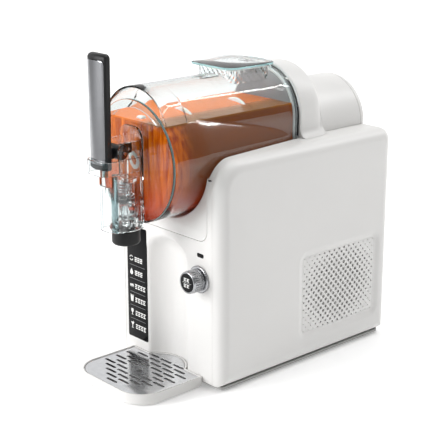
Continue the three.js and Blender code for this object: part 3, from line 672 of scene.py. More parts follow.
@dataclass(frozen=True)
class DrinkFinish(Finish):
    """Iced drink: bright behind the front disc, browner along the side in painted shade, redder low down,
    with painted glow.
    """

    # painted shade: the brown that the drink turns along its side, away from the front disc
    side: str = "#84430f"
    low: str = "#c43c0a"
    along: Flat = (-45.0, -8.0)  # depth over which the painted side shade sets in, mm
    down: Flat = (285.0, 215.0)  # height over which the low shade sets in, mm
    surface_level: Flat = (329.5, 332.0)  # height over which the bright surface sets in, mm
    near: str = "#9c5f1c"  # painted reflection: golden brown on the level surface's right half
    across: Flat = (4.0, 34.0)  # distance over which that painted reflection sets in, mm
    streak: Flat = (0.36, 0.64)  # part of the random pattern over which a streak sets in
    painted_glow: float = 0.12  # painted glow: light that the drink gives off of its own, in its own colour

    def blend(self, tree: bpy.types.NodeTree, axis: Axis, span: Flat) -> bpy.types.NodeSocket:
        """Soft step along one axis.

        Args:
            tree: The node tree.
            axis: The axis.
            span: Where the step starts and ends, in millimetres in the piece's own space.

        Returns:
            A socket from 0 to 1.
        """
        where = add_node(tree, "ShaderNodeTexCoord")
        parts = add_node(tree, "ShaderNodeSeparateXYZ", {}, {"Vector": where.outputs["Object"]})
        ends = {"From Min": span[0] * MM, "From Max": span[1] * MM, "interpolation_type": "SMOOTHSTEP"}
        return add_node(
            tree, "ShaderNodeMapRange", ends, {"Value": parts.outputs[axis.value]}
        ).outputs["Result"]

    def surface(self, tree: bpy.types.NodeTree) -> bpy.types.NodeSocket:
        """Cloudy see-through shader: slush streaks, painted side shade, painted surface reflection and
        painted glow.

        Args:
            tree: The node tree.

        Returns:
            A shader socket.
        """
        shift = FRONT_FACE / MM
        ends = {"From Min": self.streak[0], "From Max": self.streak[1]}
        drawn = add_node(tree, "ShaderNodeMapRange", ends, {"Value": self.pattern(tree)})
        pair = {"data_type": "RGBA", 6: linear(self.colour), 7: linear(self.shade)}
        colour = add_node(tree, "ShaderNodeMix", pair, {0: drawn.outputs["Result"]}).outputs[2]
        along = (self.along[0] + shift, self.along[1] + shift)
        # first step: painted shade, browner along the side; second step: redder low down
        for shade, axis, span in ((self.side, Axis.Y, along), (self.low, Axis.Z, self.down)):
            links = {0: self.blend(tree, axis, span), 6: colour}
            pair = {"data_type": "RGBA", 7: linear(shade)}
            colour = add_node(tree, "ShaderNodeMix", pair, links).outputs[2]
        # painted reflection: the level surface turns golden brown on its right half
        pair = {"data_type": "RGBA", 6: linear(self.colour), 7: linear(self.near)}
        top = add_node(tree, "ShaderNodeMix", pair, {0: self.blend(tree, Axis.X, self.across)}).outputs[2]
        links = {0: self.blend(tree, Axis.Z, self.surface_level), 6: colour, 7: top}
        colour = add_node(tree, "ShaderNodeMix", {"data_type": "RGBA"}, links).outputs[2]
        settings = {
            "Roughness": self.roughness,
            "IOR": self.ior,
            "Emission Strength": self.painted_glow,
            **dict(self.extra),
        }
        # painted glow: the drink's colour also feeds its emission
        links = {"Base Color": colour, "Emission Color": colour}
        return add_node(tree, "ShaderNodeBsdfPrincipled", settings, links).outputs["BSDF"]


# Satin moulded ABS: a soft broad sheen with a texture too fine to see one by one.
WHITE_ABS = Finish("white_moulded_abs", "#e6e5e3", "#e3e2e0", 0.36, 60.0, 0.03, grain=Grain(0.6, 0.004))
# Matt moulded ABS: dark grey rather than black where light grazes it.
BLACK_ABS = Finish(
    "black_moulded_abs", "#161617", "#1c1c1d", 0.42, 20.0, specular=0.3, grain=Grain(0.5, 0.02)
)
# The same in grey, for the tray under the cabinet.
GREY_ABS = Finish("grey_moulded_abs", "#b0b0ae", "#a8a8a6", 0.5, 20.0, grain=Grain(0.5, 0.02))
# Cast acrylic over black print: a deep black with sharp reflections.
BLACK_ACRYLIC = Finish(
    "black_backed_acrylic", "#08080a", "#0b0b0d", 0.09, 40.0, 0.02, specular=0.14, grain=Grain(8.0, 0.002)
)
# Screen ink: flat white marks.
WHITE_INK = Finish("white_screen_ink", "#f4f4f2", "#e6e6e4", 0.55, 3.0, grain=Grain(0.2, 0.004))
# Grey screen ink of the thin lines.
GREY_INK = Finish("grey_screen_ink", "#8d8e90", "#7f8082", 0.55, 3.0, grain=Grain(0.2, 0.004))
# Brushed stainless: long fine scratches that draw out the highlights.
BRUSHED_STAINLESS = Finish(
    "brushed_stainless", "#a6a7aa", "#97989b", 0.2, 6.0, 0.03, 1.0,
    grain=Grain(0.35, 0.0025, (1.0, 1.0, 120.0)), extra=(("Anisotropic", 0.5),),
)
# The grid is brushed along the machine's width.
BRUSHED_GRID = Finish(
    "brushed_grid_steel", "#dcdddf", "#c8c9cc", 0.2, 6.0, 0.06, 1.0,
    grain=Grain(0.35, 0.01, (90.0, 1.0, 1.0)),
)
# Plated steel: bright mirror with dark and light bands.
PLATED_STEEL = Finish(
    "nickel_plated_steel", "#cfd0d3", "#b9babd", 0.14, 8.0, 0.04, 1.0, grain=Grain(0.5, 0.003)
)
# Turned aluminium of the knob, anodised: fine rings and a soft silver.
ANODISED = Finish(
    "anodised_aluminium", "#b9babc", "#a6a7aa", 0.28, 4.0, 0.05, 1.0, grain=Grain(0.3, 0.01)
)
# Moulded nitrile: dull and slightly dusty.
NITRILE = Finish("moulded_nitrile", "#171717", "#222222", 0.72, 6.0, grain=Grain(0.4, 0.03))
# Natural acetal: milky white with a waxy sheen.
ACETAL = Finish(
    "natural_acetal", "#e9ebea", "#dfe2e1", 0.35, 15.0, grain=Grain(0.8, 0.006),
    extra=(("Subsurface Weight", 0.15), ("Subsurface Scale", 0.004)),
)
# Stoved enamel on pressed steel: black with orange-peel ripples.
BLACK_ENAMEL = Finish("black_stoved_enamel", "#1b1d20", "#15171a", 0.32, 25.0, grain=Grain(2.5, 0.02))
# Mill aluminium: dull, with faint rolling lines.
MILL_ALUMINIUM = Finish(
    "mill_aluminium", "#b4b6b9", "#a2a4a8", 0.4, 12.0, 0.06, 1.0, grain=Grain(0.5, 0.01, (1.0, 40.0, 1.0))
)
# Polished stainless of the cold drum: grey with broad soft reflections.
POLISHED_STAINLESS = Finish(
    "polished_stainless", "#8d8f92", "#7c7e81", 0.22, 10.0, 0.05, 1.0, grain=Grain(0.6, 0.006)
)
# Drawn copper: warm, dulled by handling.
DRAWN_COPPER = Finish("drawn_copper", "#b56f4a", "#8a4f33", 0.34, 9.0, 0.1, 1.0, grain=Grain(0.6, 0.01))
# Solder mask: glossy green with the weave of the board just showing.
SOLDER_MASK = Finish("solder_mask", "#1f5a3a", "#1a4d31", 0.3, 5.0, grain=Grain(0.6, 0.01))
# Moulded bulkhead at the back of the drum: mid grey with a soft sheen.
GREY_MOULDING = Finish("grey_moulding", "#8f9296", "#777a7e", 0.3, 30.0, grain=Grain(0.7, 0.01))
# Moulded clear copolyester: hardly any colour, small ripples left by the mould.
CLEAR_COPOLYESTER = ClearFinish(
    "clear_copolyester", "#f1f5f5", "#ffffff", 0.02, ior=1.34, grain=Grain(22.0, 0.05), through="#eef2f2"
)
# Thick moulding of the tap: the same plastic, with stronger lines along its edges.
CLEAR_TAP = ClearFinish(
    "clear_tap_moulding", "#f8fbfb", "#ffffff", 0.02, ior=1.5, grain=Grain(14.0, 0.04)
)
# Rounded corners of that moulding: light piles up in them, painted here as blue-grey lines.
CLEAR_CORNER_PAINTED_LINES = ClearFinish(
    "clear_tap_corner_painted_lines", "#9db4b7", "#ffffff", 0.1, ior=1.5, grain=Grain(14.0, 0.04), through="#c5d4d6"
)
# Pale silicone of the drum's ring seal: a soft grey ring.
PALE_SILICONE = Finish("pale_silicone", "#dfe2e2", "#d4d8d8", 0.55, 12.0, grain=Grain(0.6, 0.01))
# Cut edge of the clear sheet: light gathers there, painted here as a blue-green tint.
CLEAR_EDGE_PAINTED_LIGHT = ClearFinish(
    "clear_sheet_edge_painted_light", "#c2e9ea", "#ffffff", 0.3, ior=1.15, grain=Grain(3.0, 0.02),
    extra=(("Transmission Weight", 0.75),), through="#9fd4d6",
)
# Orange drink, half frozen: bright where light comes through it, brown along the side in painted shade,
# with painted glow.
ORANGE_DRINK = DrinkFinish(
    "orange_slush", "#ff8208", "#a83a00", 0.12, ior=1.34, grain=Grain(6.0, 0.0, (1.0, 1.0, 11.0)),
    extra=(("Transmission Weight", 0.36),),
)


class Slot(Enum):
    """Names of material slots."""

    WHITE = "white_abs"
    DARK = "dark_plastic"
    PANEL = "black_panel"
    CLEAR = "clear_plastic"
    STEEL = "brushed_steel"
    BRIGHT = "bright_steel"
    RUBBER = "black_rubber"
    PALE = "pale_plastic"
    ENAMEL = "black_enamel"
    ALUMINIUM = "bare_aluminium"
    COPPER = "copper_pipe"
    BOARD = "circuit_board"


def settle(
    made: bpy.types.Object,
    body: str,
    finish: Finish,
    stands_for: Sequence[str] = (),
    angle: float = 35,
) -> bpy.types.Object:
    """Shades a piece, gives it its finish and sets it on its body.

    Args:
        made: The piece.
        body: Body that it moves with.
        finish: Its finish.
        stands_for: Frame nodes that it is shown in place of.
        angle: Edges sharper than this many degrees stay sharp.

    Returns:
        The piece.
    """
    made.data.shade_smooth()
    made.data.set_sharp_from_angle(angle=math.radians(angle))
    if not made.data.materials:
        made.data.materials.append(finish.material())
    made.data.materials[0] = finish.material()
    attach(made, body)
    if stands_for:
        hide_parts(*stands_for)
    LOG.info("%s: %d faces on %s", made.name, len(made.data.polygons), body)
    return made


def dress(nodes: Sequence[str], finish: Finish) -> None:
    """Gives frame nodes that are shown as they are a better finish.

    Args:
        nodes: Names of the nodes.
        finish: Their finish.
    """
    for name in nodes:
        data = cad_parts[name].data
        data.shade_smooth()
        data.set_sharp_from_angle(angle=math.radians(30))
        data.materials.clear()
        data.materials.append(finish.material())
        LOG.info("%s: frame node in %s", name, finish.name)


# ---------------------------------------------------------------- cabinet
@dataclass
class Cabinet:
    """White housing, side shells, perforated vents, rear panel and the collar under the drum."""

    half: float = 100.0
    depth: float = 305.0
    bottom: float = 6.0
    top: float = 288.0
    wall: float = 2.6
    seam: float = 84.2
    rim: float = 15.5
    corners: tuple[float, float, float, float] = (5.0, 5.0, 16.0, 36.0)
    vent: tuple[Flat, Flat, float] = ((133.7, 285.1), (32.8, 151.8), 14.0)
    vent_drop: float = 3.0  # how far the plate lies below the side
    vent_slope: float = 10.5  # width of the sloped frame round it
    scoop_radius: float = 42.0
    scoop_middle: float = -22.0
    scoop_top: float = 152.0
    scoop_crown: float = 30.0
    collar_half: float = 75.6
    collar_bottom: float = 188.0

    def side_ring(self, x: float, inset: float) -> Ring:
        """The side outline at one distance from the middle.

        Args:
            x: Distance across.
            inset: How far the outline is pulled in.

        Returns:
            The ring.
        """
        radii = [max(r - inset, 0.6) for r in self.corners]
        outline = round_rect(
            (inset, self.depth - inset), (self.bottom + inset, self.top - inset), radii, 12
        )
        return [place(p, x, Axis.X) for p in outline]

    def vent_ring(self, x: float, inset: float) -> Ring:
        """The vent's outline at one distance from the middle.

        Args:
            x: Distance across.
            inset: How far the outline is pulled in.

        Returns:
            The ring, which matches side_ring point by point.
        """
        (y0, y1), (z0, z1), radius = self.vent
        outline = round_rect((y0 + inset, y1 - inset), (z0 + inset, z1 - inset), radius - inset, 12)
        return [place(p, x, Axis.X) for p in outline]

    def side_shell(self) -> Form:
        """Right side shell: quarter-round rim, flat side and a recess round the vent.

        Returns:
            The closed shell.
        """
        start = self.seam + 0.3
        lead = ((0.0, 0.5), (0.2, 0.12), (0.6, 0.0))
        rings = [self.side_ring(start + past, inset) for past, inset in lead]
        turn = [QUARTER * k / 14 for k in range(15)]
        rings += [
            self.side_ring(self.half - self.rim * (1 - math.sin(a)), self.rim * (1 - math.cos(a)))
            for a in turn
        ]
        drop, slope = self.vent_drop, self.vent_slope
        for k in range(9):
            share = k / 8
            x = self.half - drop * (3 - 2 * share) * share**2
            rings.append(self.vent_ring(x, slope * (share - 0.2)))
        rings.append(self.vent_ring(self.half - drop - 1.7, slope * 0.8))
        inner = self.rim - self.wall
        rings += [
            self.side_ring(
                self.half - self.wall - inner * (1 - math.sin(a)), self.wall + inner * (1 - math.cos(a))
            )
            for a in reversed(turn)
        ]
        rings.append(self.side_ring(start, self.wall))
        return loft(rings, loop=True)

    def vent_plate(self) -> tuple[Form, Form]:
        """Perforated plate of the vent.

        Returns:
            The plate, and its holes, which are widest in the middle.
        """
        (y0, y1), (z0, z1), radius = self.vent
        frame_width = 8.5
        outline = rounded(
            (y0 + frame_width, y1 - frame_width), (z0 + frame_width, z1 - frame_width), radius - 8.4, 12
        )
        body = plate(outline, Axis.X, (self.half - 5.0, self.half - 2.95), 0.15, 2)
        holes = Form()
        middle = ((y0 + y1) / 2, (z0 + z1) / 2)
        columns, rows = 15, 21
        across, up = 9.2, 4.9
        reach = (74, 62)  # distance from the middle at which the holes are smallest
        for row in range(rows):
            for column in range(columns - row % 2):
                y = middle[0] + (column - (columns - 1) / 2 + (row % 2) / 2) * across
                z = middle[1] + (row - (rows - 1) / 2) * up
                far = math.hypot((y - middle[0]) / reach[0], (z - middle[1]) / reach[1])
                size = 2.4 * (1 - 0.7 * min(1, far) ** 3.4)
                holes.take(rod(Axis.X, size, (self.half - 6, self.half + 1), (0, y, z), 14))
        return body, holes

    def scoop(self) -> Form:
        """Hollow behind the cup, blended softly into the front face.

        Returns:
            The form that is cut away.
        """
        blend, clear = 5.0, 0.35
        columns, rows = 72, 84
        width, height = 50.0, 196.0
        front, back = [], []
        for j in range(rows + 1):
            z = -4 + (height + 4) * j / rows
            for i in range(columns + 1):
                x = width * (2 * i / columns - 1)
                rise = max(0, z - self.scoop_top) / self.scoop_crown
                inside = 1 - (x / self.scoop_radius) ** 2 - rise * rise
                reach = self.scoop_radius * math.sqrt(inside) if inside > 0 else 20 * inside
                depth = reach + self.scoop_middle
                y = 0.5 * (depth + math.sqrt(depth * depth + blend * blend)) - clear
                front.append((x, -12.0, z))
                back.append((x, y, z))
        size = (columns + 1) * (rows + 1)

        def at(i: int, j: int) -> int:
            """Number of the front point in column i of row j."""
            return j * (columns + 1) + i

        faces = []
        for j in range(rows):
            for i in range(columns):
                cell = (at(i, j), at(i + 1, j), at(i + 1, j + 1), at(i, j + 1))
                faces += [cell, tuple(reversed([k + size for k in cell]))]
        rim = [at(i, 0) for i in range(columns)] + [at(columns, j) for j in range(rows)]
        rim += [at(i, rows) for i in range(columns, 0, -1)] + [at(0, j) for j in range(rows, 0, -1)]
        for k, a in enumerate(rim):
            b = rim[(k + 1) % len(rim)]
            faces.append((a, a + size, b + size, b))
        return Form(front + back, faces)

    def trough(self, drum: "Drum", grow: float, end: float) -> list[Form]:
        """Round-bottomed trough that the drum lies in.

        Args:
            drum: The drum.
            grow: Clearance round the drum.
            end: Where the trough ends.

        Returns:
            The forms that are cut away.
        """
        start = -6.0
        levels = (start, drum.taper_from, end)
        cone = turned([(drum.tub(y) + grow, y) for y in levels], Axis.Y, (0, 0, drum.axis), 160)
        rings = []
        for y in levels:
            half = drum.tub(y) + grow
            rings.append([(-half, y, drum.axis), (half, y, drum.axis), (half, y, 380), (-half, y, 380)])
        return [cone, loft(rings)]

    def housing(self, drum: "Drum") -> bpy.types.Object:
        """Middle of the cabinet with its trough, cup hollow and pockets.

        Args:
            drum: The drum that lies in it.

        Returns:
            The housing.
        """
        seam = self.seam
        outer = loft(
            [
                self.side_ring(-seam, 0.4), self.side_ring(-seam + 0.4, 0),
                self.side_ring(seam - 0.4, 0), self.side_ring(seam, 0.4),
            ]
        )
        inside = seam - self.wall
        hollow = block((-inside, inside), (45, self.depth + 10), (-10, 180))
        rear = block((-82.3, 82.3), (self.depth - 5, self.depth + 5), (8.3, 270.3))
        collar = rounded((-self.collar_half, self.collar_half), (self.collar_bottom, 300), [14, 14, 1, 1])
        pocket = plate(collar, Axis.Y, (-5, 3), 0.0, 1)
        shaft = rod(Axis.Y, 30, (drum.rear - 5, drum.rear + 30), (0, 0, drum.axis))
        deck = block((-50, 50), (drum.rear + 8, 290), (250, self.top + 5))
        cuts = [*self.trough(drum, 2.1, drum.rear), pocket, self.scoop(), hollow, rear, shaft, deck]
        return shaped(outer.mesh("housing"), [(Join.CUT, cuts)])

    def collar(self, drum: "Drum") -> bpy.types.Object:
        """Raised panel under the drum, with a soft round edge along the drum.

        Args:
            drum: The drum above it.

        Returns:
            The collar.
        """
        gap = 0.45
        outline = rounded(
            (-self.collar_half + gap, self.collar_half - gap),
            (self.collar_bottom + gap, drum.axis + 6),
            [14, 14, 1, 1],
            shrink=(1.0, 1.0, 0.0, 0.0),
        )
        panel = plate(outline, Axis.Y, (-0.2, 2.7), 0.7, 3)
        reach, soft = 76.5, 2.2
        profile = [(reach, 6.0), (reach, soft)]
        profile += [
            (reach + soft * (1 - math.cos(a)), soft - (soft + 0.3) * math.sin(a))
            for a in (QUARTER * k / 6 for k in range(1, 7))
        ]
        profile.append((reach + soft + 1, -3.0))
        mouth = turned(profile, Axis.Y, (0, 0, drum.axis), 192)
        return shaped(panel.mesh("collar"), [(Join.CUT, [mouth])])

    def rear(self) -> bpy.types.Object:
        """Removable rear panel with its vent slots.

        Returns:
            The panel.
        """
        outline = rounded((-82, 82), (8.6, 270), 3)
        panel = plate(outline, Axis.Y, (self.depth - 3.7, self.depth - 0.7), 0.6)
        slots = Form()
        for row in range(8):
            for side in (-1, 1):
                z = 130 + row * 15
                slot = rounded((side * 36 - 30, side * 36 + 30), (z, z + 5), 2.5, 6)
                slots.take(plate(slot, Axis.Y, (290, 310), 0.0, 1))
        inlet = block((44.7, 72.3), (290, 310), (35.7, 57.3))
        switch = block((9.7, 30.3), (290, 310), (39.7, 53.3))
        return softened(shaped(panel.mesh("rear_cover"), [(Join.CUT, [slots, inlet, switch])]), 0.35)

    def build(self, drum: "Drum") -> None:
        """Makes and dresses the whole cabinet.

        Args:
            drum: The drum that it holds.
        """
        settle(self.housing(drum), "base", WHITE_ABS, ["main_housing"], 30)
        body, holes = self.vent_plate()
        for side, word in ((1, "right"), (-1, "left")):
            shell = self.side_shell().mirrored(side).mesh(f"{word}_shell")
            settle(shell, "base", WHITE_ABS, [f"side_shell_{word}"], 40)
            vent = shaped(body.mirrored(side).mesh(f"{word}_vent"), [(Join.CUT, [holes.mirrored(side)])])
            settle(vent, "base", WHITE_ABS, [f"side_grille_{word}"], 30)
        settle(self.collar(drum), "base", WHITE_ABS, ["drum_collar"], 50)
        settle(self.rear(), "base", WHITE_ABS, ["rear_panel"])
        dress(["base_pan"], GREY_ABS)
        dress(["power_inlet", "switch_frame", "rocker_switch", "collar_latch"], BLACK_ABS)
        dress([f"foot_{end}_{side}" for end in ("front", "rear") for side in ("left", "right")], NITRILE)


@dataclass
class Hood:
    """Ring-shaped hood round the drum's rear end, and the dome over the motor behind it."""

    front: float = 168.3
    rear: float = 213.0
    radius: float = 62.6
    height: float = 315.0
    wall: float = 2.6
    flare: float = 12.0
    dome_rear: float = 300.0
    dome_radius: float = 58.5
    dome_height: float = 290.0
    dome_round: float = 12.0
    foot: float = 288.3

    def arch(self, y: float, arches: Sequence[Flat], foot: float, flare: float) -> Ring:
        """Ring round several arches on straight legs.

        Args:
            y: Depth of the ring.
            arches: Radius and centre height of each arch.
            foot: Height of the legs' feet.
            flare: How far the feet spread.

        Returns:
            The ring.
        """
        pole, count = foot + 2, 120
        ring = []
        for i in range(count + 1):
            angle = math.pi * i / count
            reach = max(arch_reach(angle, pole, r, z, foot) for r, z in arches)
            x, z = reach * math.cos(angle), pole + reach * math.sin(angle)
            rise = min(1.0, max(0.0, (z - foot) / max(flare, 1)))
            spread = flare * (1 - math.sqrt(max(0.0, 1 - (1 - rise) ** 2)))
            ring.append((x + math.copysign(spread, x) * (abs(x) > 20), y, z))
        half = abs(ring[0][0]) + flare * 0.35
        return [*ring, (-half, y, foot), (half, y, foot)]

    def loss(self, share: float) -> float:
        """Share of its radius that the hood has lost at a share of its length.

        Args:
            share: From 0 at the front to 1 at the rear.

        Returns:
            The share lost.
        """
        front = 0.012 * max(0.0, 1 - share / 0.05) ** 2
        return front + 0.24 * (0.85 * share**11 + 0.15 * share**4)

    def hood_ring(self, share: float, wall: float, drop: float) -> Ring:
        """Ring of the hood.

        Args:
            share: From 0 at the front to 1 at the rear.
            wall: How far inside the outer skin.
            drop: How far its feet reach below the deck.

        Returns:
            The ring.
        """
        loss = self.loss(min(max(share, 0.0), 1.0))
        arches = [
            (self.radius * (1 - loss) - wall, self.height - loss * 40),
            (self.dome_radius - wall, self.dome_height),
        ]
        y = self.front + (self.rear - self.front) * share
        return self.arch(y, arches, self.foot - drop, 0 if wall else self.flare)

    def hood(self) -> bpy.types.Object:
        """The ring hood.

        Returns:
            The hood.
        """
        close, steps = 0.05, 26
        spread = [close + (1 - close) * math.sin(QUARTER * k / steps) for k in range(1, steps + 1)]
        shares = [0, 0.01, 0.025, close, *spread]
        outer = loft([self.hood_ring(s, 0, 0) for s in shares])
        inner = loft([self.hood_ring(s, self.wall, 5) for s in [-0.05, *shares[3:], 1.05]])
        return shaped(outer.mesh("hood"), [(Join.CUT, [inner])])

    def dome(self) -> bpy.types.Object:
        """The dome over the motor, rounded at its back.

        Returns:
            The dome.
        """
        forms = []
        for wall, past in ((0.0, 0.0), (self.wall, 5.0)):
            feet = self.foot - past
            stations = [(self.rear + 0.3 - past, self.dome_radius - wall)]
            if not wall:
                seam = self.dome_rear - self.dome_round - 2.2
                groove = ((0, 0.0), (0.15, 0.7), (0.85, 0.7), (1.0, 0.0))
                stations += [(seam + shift, self.dome_radius - deep) for shift, deep in groove]
            for k in range(13):
                a = QUARTER * k / 12
                y = self.dome_rear - wall - self.dome_round * (1 - math.sin(a))
                stations.append((y, self.dome_radius - wall - self.dome_round * (1 - math.cos(a))))
            forms.append(loft([self.arch(y, [(r, self.dome_height)], feet, 0) for y, r in stations]))
        return shaped(forms[0].mesh("motor_cover"), [(Join.CUT, [forms[1]])])

    def build(self) -> None:
        """Makes and dresses the hood and the dome."""
        settle(self.hood(), "base", WHITE_ABS, ["ring_hood"], 40)
        settle(self.dome(), "base", WHITE_ABS, ["motor_dome"], 40)


def arch_reach(angle: float, pole: float, radius: float, centre: float, foot: float) -> float:
    """Distance from a pole on the middle line to an arch on straight legs.

    Args:
        angle: Direction from the pole.
        pole: Height of the pole.
        radius: Radius of the arch.
        centre: Height of its centre.
        foot: Height of its feet.

    Returns:
        The distance.
    """
    dx, dz = math.cos(angle), math.sin(angle)
    rise = pole - centre
    on_arc = -rise * dz + math.sqrt(max(0.0, radius * radius - rise * rise * dx * dx))
    if pole + on_arc * dz >= centre:
        return on_arc
    to_leg = radius / abs(dx) if abs(dx) > 1e-6 else math.inf
    to_foot = (foot - pole) / dz if dz < -1e-6 else math.inf
    return min(to_leg, to_foot)


# ---------------------------------------------------------------- drum
@dataclass
class Drum:
    """Clear vessel, its cover and lid, the drink in it and what turns inside."""

    axis: float = 283.0
    front: float = -45.7
    rear: float = 166.0
    wide: float = 74.4
    narrow: float = 58.6
    taper_from: float = 4.0
    wall: float = 2.6
    dome: tuple[Point, ...] = (  # depth, radius and height of its centre
        (-45.7, 61.4, 311.0),
        (-12.0, 59.0, 313.5),
        (-10.0, 56.0, 316.5),
        (166.0, 58.6, 315.0),
    )
    neck_half: float = 33.0
    neck: Flat = (76.0, 145.0)
    neck_corner: float = 12.0
    neck_top: float = 381.0
    lid_half: float = 39.5
    lid: Flat = (69.0, 150.0)
    pivot: Flat = (153.5, 380.0)
    fill: float = 332.5

    def tub(self, y: float) -> float:
        """Radius of the drum's lower half at a depth.

        Args:
            y: The depth.

        Returns:
            The radius.
        """
        share = max(0.0, (y - self.taper_from) / (self.rear - self.taper_from))
        return self.wide + (self.narrow - self.wide) * share

    def dome_at(self, y: float) -> Flat:
        """Radius and centre height of the upper dome at a depth.

        Args:
            y: The depth.

        Returns:
            Radius and height.
        """
        for (y0, r0, z0), (y1, r1, z1) in zip(self.dome, self.dome[1:]):
            if y <= y1:
                break
        t = min(1.0, max(0.0, (y - y0) / (y1 - y0)))
        return r0 + (r1 - r0) * t, z0 + (z1 - z0) * t

    def ring(self, y: float, inset: float = 0.0, at: float | None = None) -> Ring:
        """Ring round the drum, with a point exactly on each crease between tub and dome.

        Args:
            y: Depth that the shape is taken at.
            inset: How far inside the outer skin.
            at: Depth that the ring is set at, if another.

        Returns:
            The ring.
        """
        radius, centre = self.dome_at(y)
        tub = self.tub(y) - inset

        def dome(angle: float) -> float:
            """Distance from the drum's axis to the dome in one direction."""
            return arch_reach(angle, self.axis, radius - inset, centre, self.axis)

        low, high = 0.0, math.pi / 2
        for _ in range(40):
            middle = (low + high) / 2
            low, high = (middle, high) if dome(middle) < tub else (low, middle)
        crease = low
        below, above = 112, 80
        turn = [math.pi - crease + (math.pi + 2 * crease) * k / below for k in range(below)]
        ring = [(tub * math.cos(a), tub * math.sin(a)) for a in turn]
        turn = [crease + (math.pi - 2 * crease) * k / above for k in range(above)]
        ring += [(dome(a) * math.cos(a), dome(a) * math.sin(a)) for a in turn]
        depth = y if at is None else at
        return [(x, depth, self.axis + z) for x, z in ring]

    def stations(self) -> list[float]:
        """Depths at which the drum's skin has rings.

        Returns:
            The depths.
        """
        slope = [self.taper_from + (self.rear - self.taper_from) * k / 12 for k in range(1, 12)]
        return [-30.0, -12.4, -12.0, -10.0, -9.6, self.taper_from - 2, self.taper_from + 2, *slope]

    def neck_form(self, z: Flat) -> Form:
        """Upright form of the filler neck.

        Args:
            z: Limits in height.

        Returns:
            The form.
        """
        outline = rounded((-self.neck_half, self.neck_half), self.neck, self.neck_corner)
        return plate(outline, Axis.Z, z, 0.4, 2)

    def flutes(self, z: Flat) -> Form:
        """Inner form of the filler neck, with shallow upright flutes that break up the view.

        Args:
            z: Limits in height.

        Returns:
            The form.
        """
        inset, wave, count = 2.4, 0.65, 26
        (y0, y1), half = self.neck, self.neck_half - inset
        outline = round_rect((-half, half), (y0 + inset, y1 - inset), self.neck_corner - inset, 24)
        dense = []
        for k, (x, y) in enumerate(outline):
            following = outline[(k + 1) % len(outline)]
            parts = max(1, round(math.dist((x, y), following) / 0.6))
            dx, dy = following[0] - x, following[1] - y
            dense += [(x + dx * i / parts, y + dy * i / parts) for i in range(parts)]
        middle = (y0 + y1) / 2
        rings = []
        for level in [z[0] + (z[1] - z[0]) * k / 16 for k in range(17)]:
            turn = 5.0 * (level - z[0]) / (z[1] - z[0])
            ring = []
            for k, (x, y) in enumerate(dense):
                phase = math.tau * (count * k / len(dense) + turn)
                pull = 1 - wave * (1 - math.cos(phase)) / half
                ring.append((x * pull, middle + (y - middle) * pull, level))
            rings.append(ring)
        return loft(rings)

    def vessel(self) -> bpy.types.Object:
        """The clear vessel with its filler neck and hinge lugs.

        Returns:
            The vessel.
        """
        stops = self.stations()
        rims = [self.ring(self.front, 0.6), self.ring(self.front + 0.2, 0.2, self.front + 0.2)]
        outer = loft([*rims, *[self.ring(y) for y in [self.front + 0.8, *stops, self.rear]]])
        inner = loft([self.ring(y, self.wall) for y in [self.front + self.wall, *stops, self.rear + 2]])
        y, z = self.pivot
        lugs = []
        for side in (-1, 1):
            width = (side * 17 - 3.5, side * 17 + 3.5)
            lugs.append(block(width, (self.neck[1] - 1, y + 3.4), (z - 6, z + 1), 1.0))
            lugs.append(rod(Axis.X, 3.3, width, (0, y + 0.2, z - 0.3)))
        mouth = rod(Axis.Y, 64, (self.front - 5, self.front + 10), (0, 0, self.axis), 160)
        filler = self.flutes((340, self.neck_top + 5))
        pin = rod(Axis.X, 1.8, (-30, 30), (0, y, z))
        steps = [
            (Join.ADD, [self.neck_form((350, self.neck_top)), *lugs]),
            (Join.CUT, [inner, filler, mouth, pin]),
        ]
        return shaped(outer.mesh("vessel"), steps)

    def cover(self) -> bpy.types.Object:
        """Clear front disc.

        Returns:
            The disc, with its cut edge in a second finish.
        """
        y0, y1 = -49.9, -46.0
        profile = filleted([(0.0, y0), (self.wide, y0), (self.wide, y1), (0.0, y1)], 1.4, 5)
        disc = turned(profile, Axis.Y, (0, 0, self.axis), 192)
        outlet = rod(Axis.Y, 8, (y0 - 5, y1 + 5), (0, 0, 224))
        return edged(shaped(disc.mesh("front_disc"), [(Join.CUT, [outlet])]), Axis.Y, CLEAR_EDGE_PAINTED_LIGHT)

    def lid_plate(self) -> bpy.types.Object:
        """Clear lid with its hinge knuckle.

        Returns:
            The lid, with its cut edge in a second finish.
        """
        z = self.neck_top + 0.3
        outline = rounded((-self.lid_half, self.lid_half), self.lid, 14, 12)
        flat = plate(outline, Axis.Z, (z, z + 3), 0.7)
        knuckle = rod(Axis.X, 3.4, (-12.5, 12.5), (0, *self.pivot))
        bridge = block((-12.5, 12.5), (self.lid[1] - 3, self.pivot[0]), (z, z + 2.6))
        pin = rod(Axis.X, 1.8, (-30, 30), (0, *self.pivot))
        made = shaped(flat.mesh("lid_cover"), [(Join.ADD, [bridge, knuckle]), (Join.CUT, [pin])])
        return edged(made, Axis.Z, CLEAR_EDGE_PAINTED_LIGHT)

    def drink(self) -> bpy.types.Object:
        """The drink, level at its fill line.

        Returns:
            The drink.
        """
        inset = self.wall + 0.12
        ends = [self.front + 0.4, *self.stations(), 160.0]
        body = loft([self.ring(y, inset) for y in ends])
        above = block((-90, 90), (-60, 180), (self.fill, 400))
        return shaped(body.mesh("drink"), [(Join.CUT, [above])])

    def helix(self) -> Form:
        """Helical blade of the auger.

        Returns:
            The blade.
        """
        inner, outer, pitch, thick, ends = 37.6, 54.0, 88.0, 4.0, (4.0, 156.0)
        turns = (ends[1] - ends[0] - thick) / pitch
        steps = round(turns * 64)
        section = filleted([(inner, 0), (outer, 0), (outer, thick), (inner, thick)], 1.2, 3, loop=True)
        rings = []
        for i in range(steps + 1):
            angle = i / steps * turns * math.tau
            y = ends[0] + i / steps * turns * pitch
            rings.append([(r * math.cos(angle), y + dy, r * math.sin(angle)) for r, dy in section])
        return loft(rings)

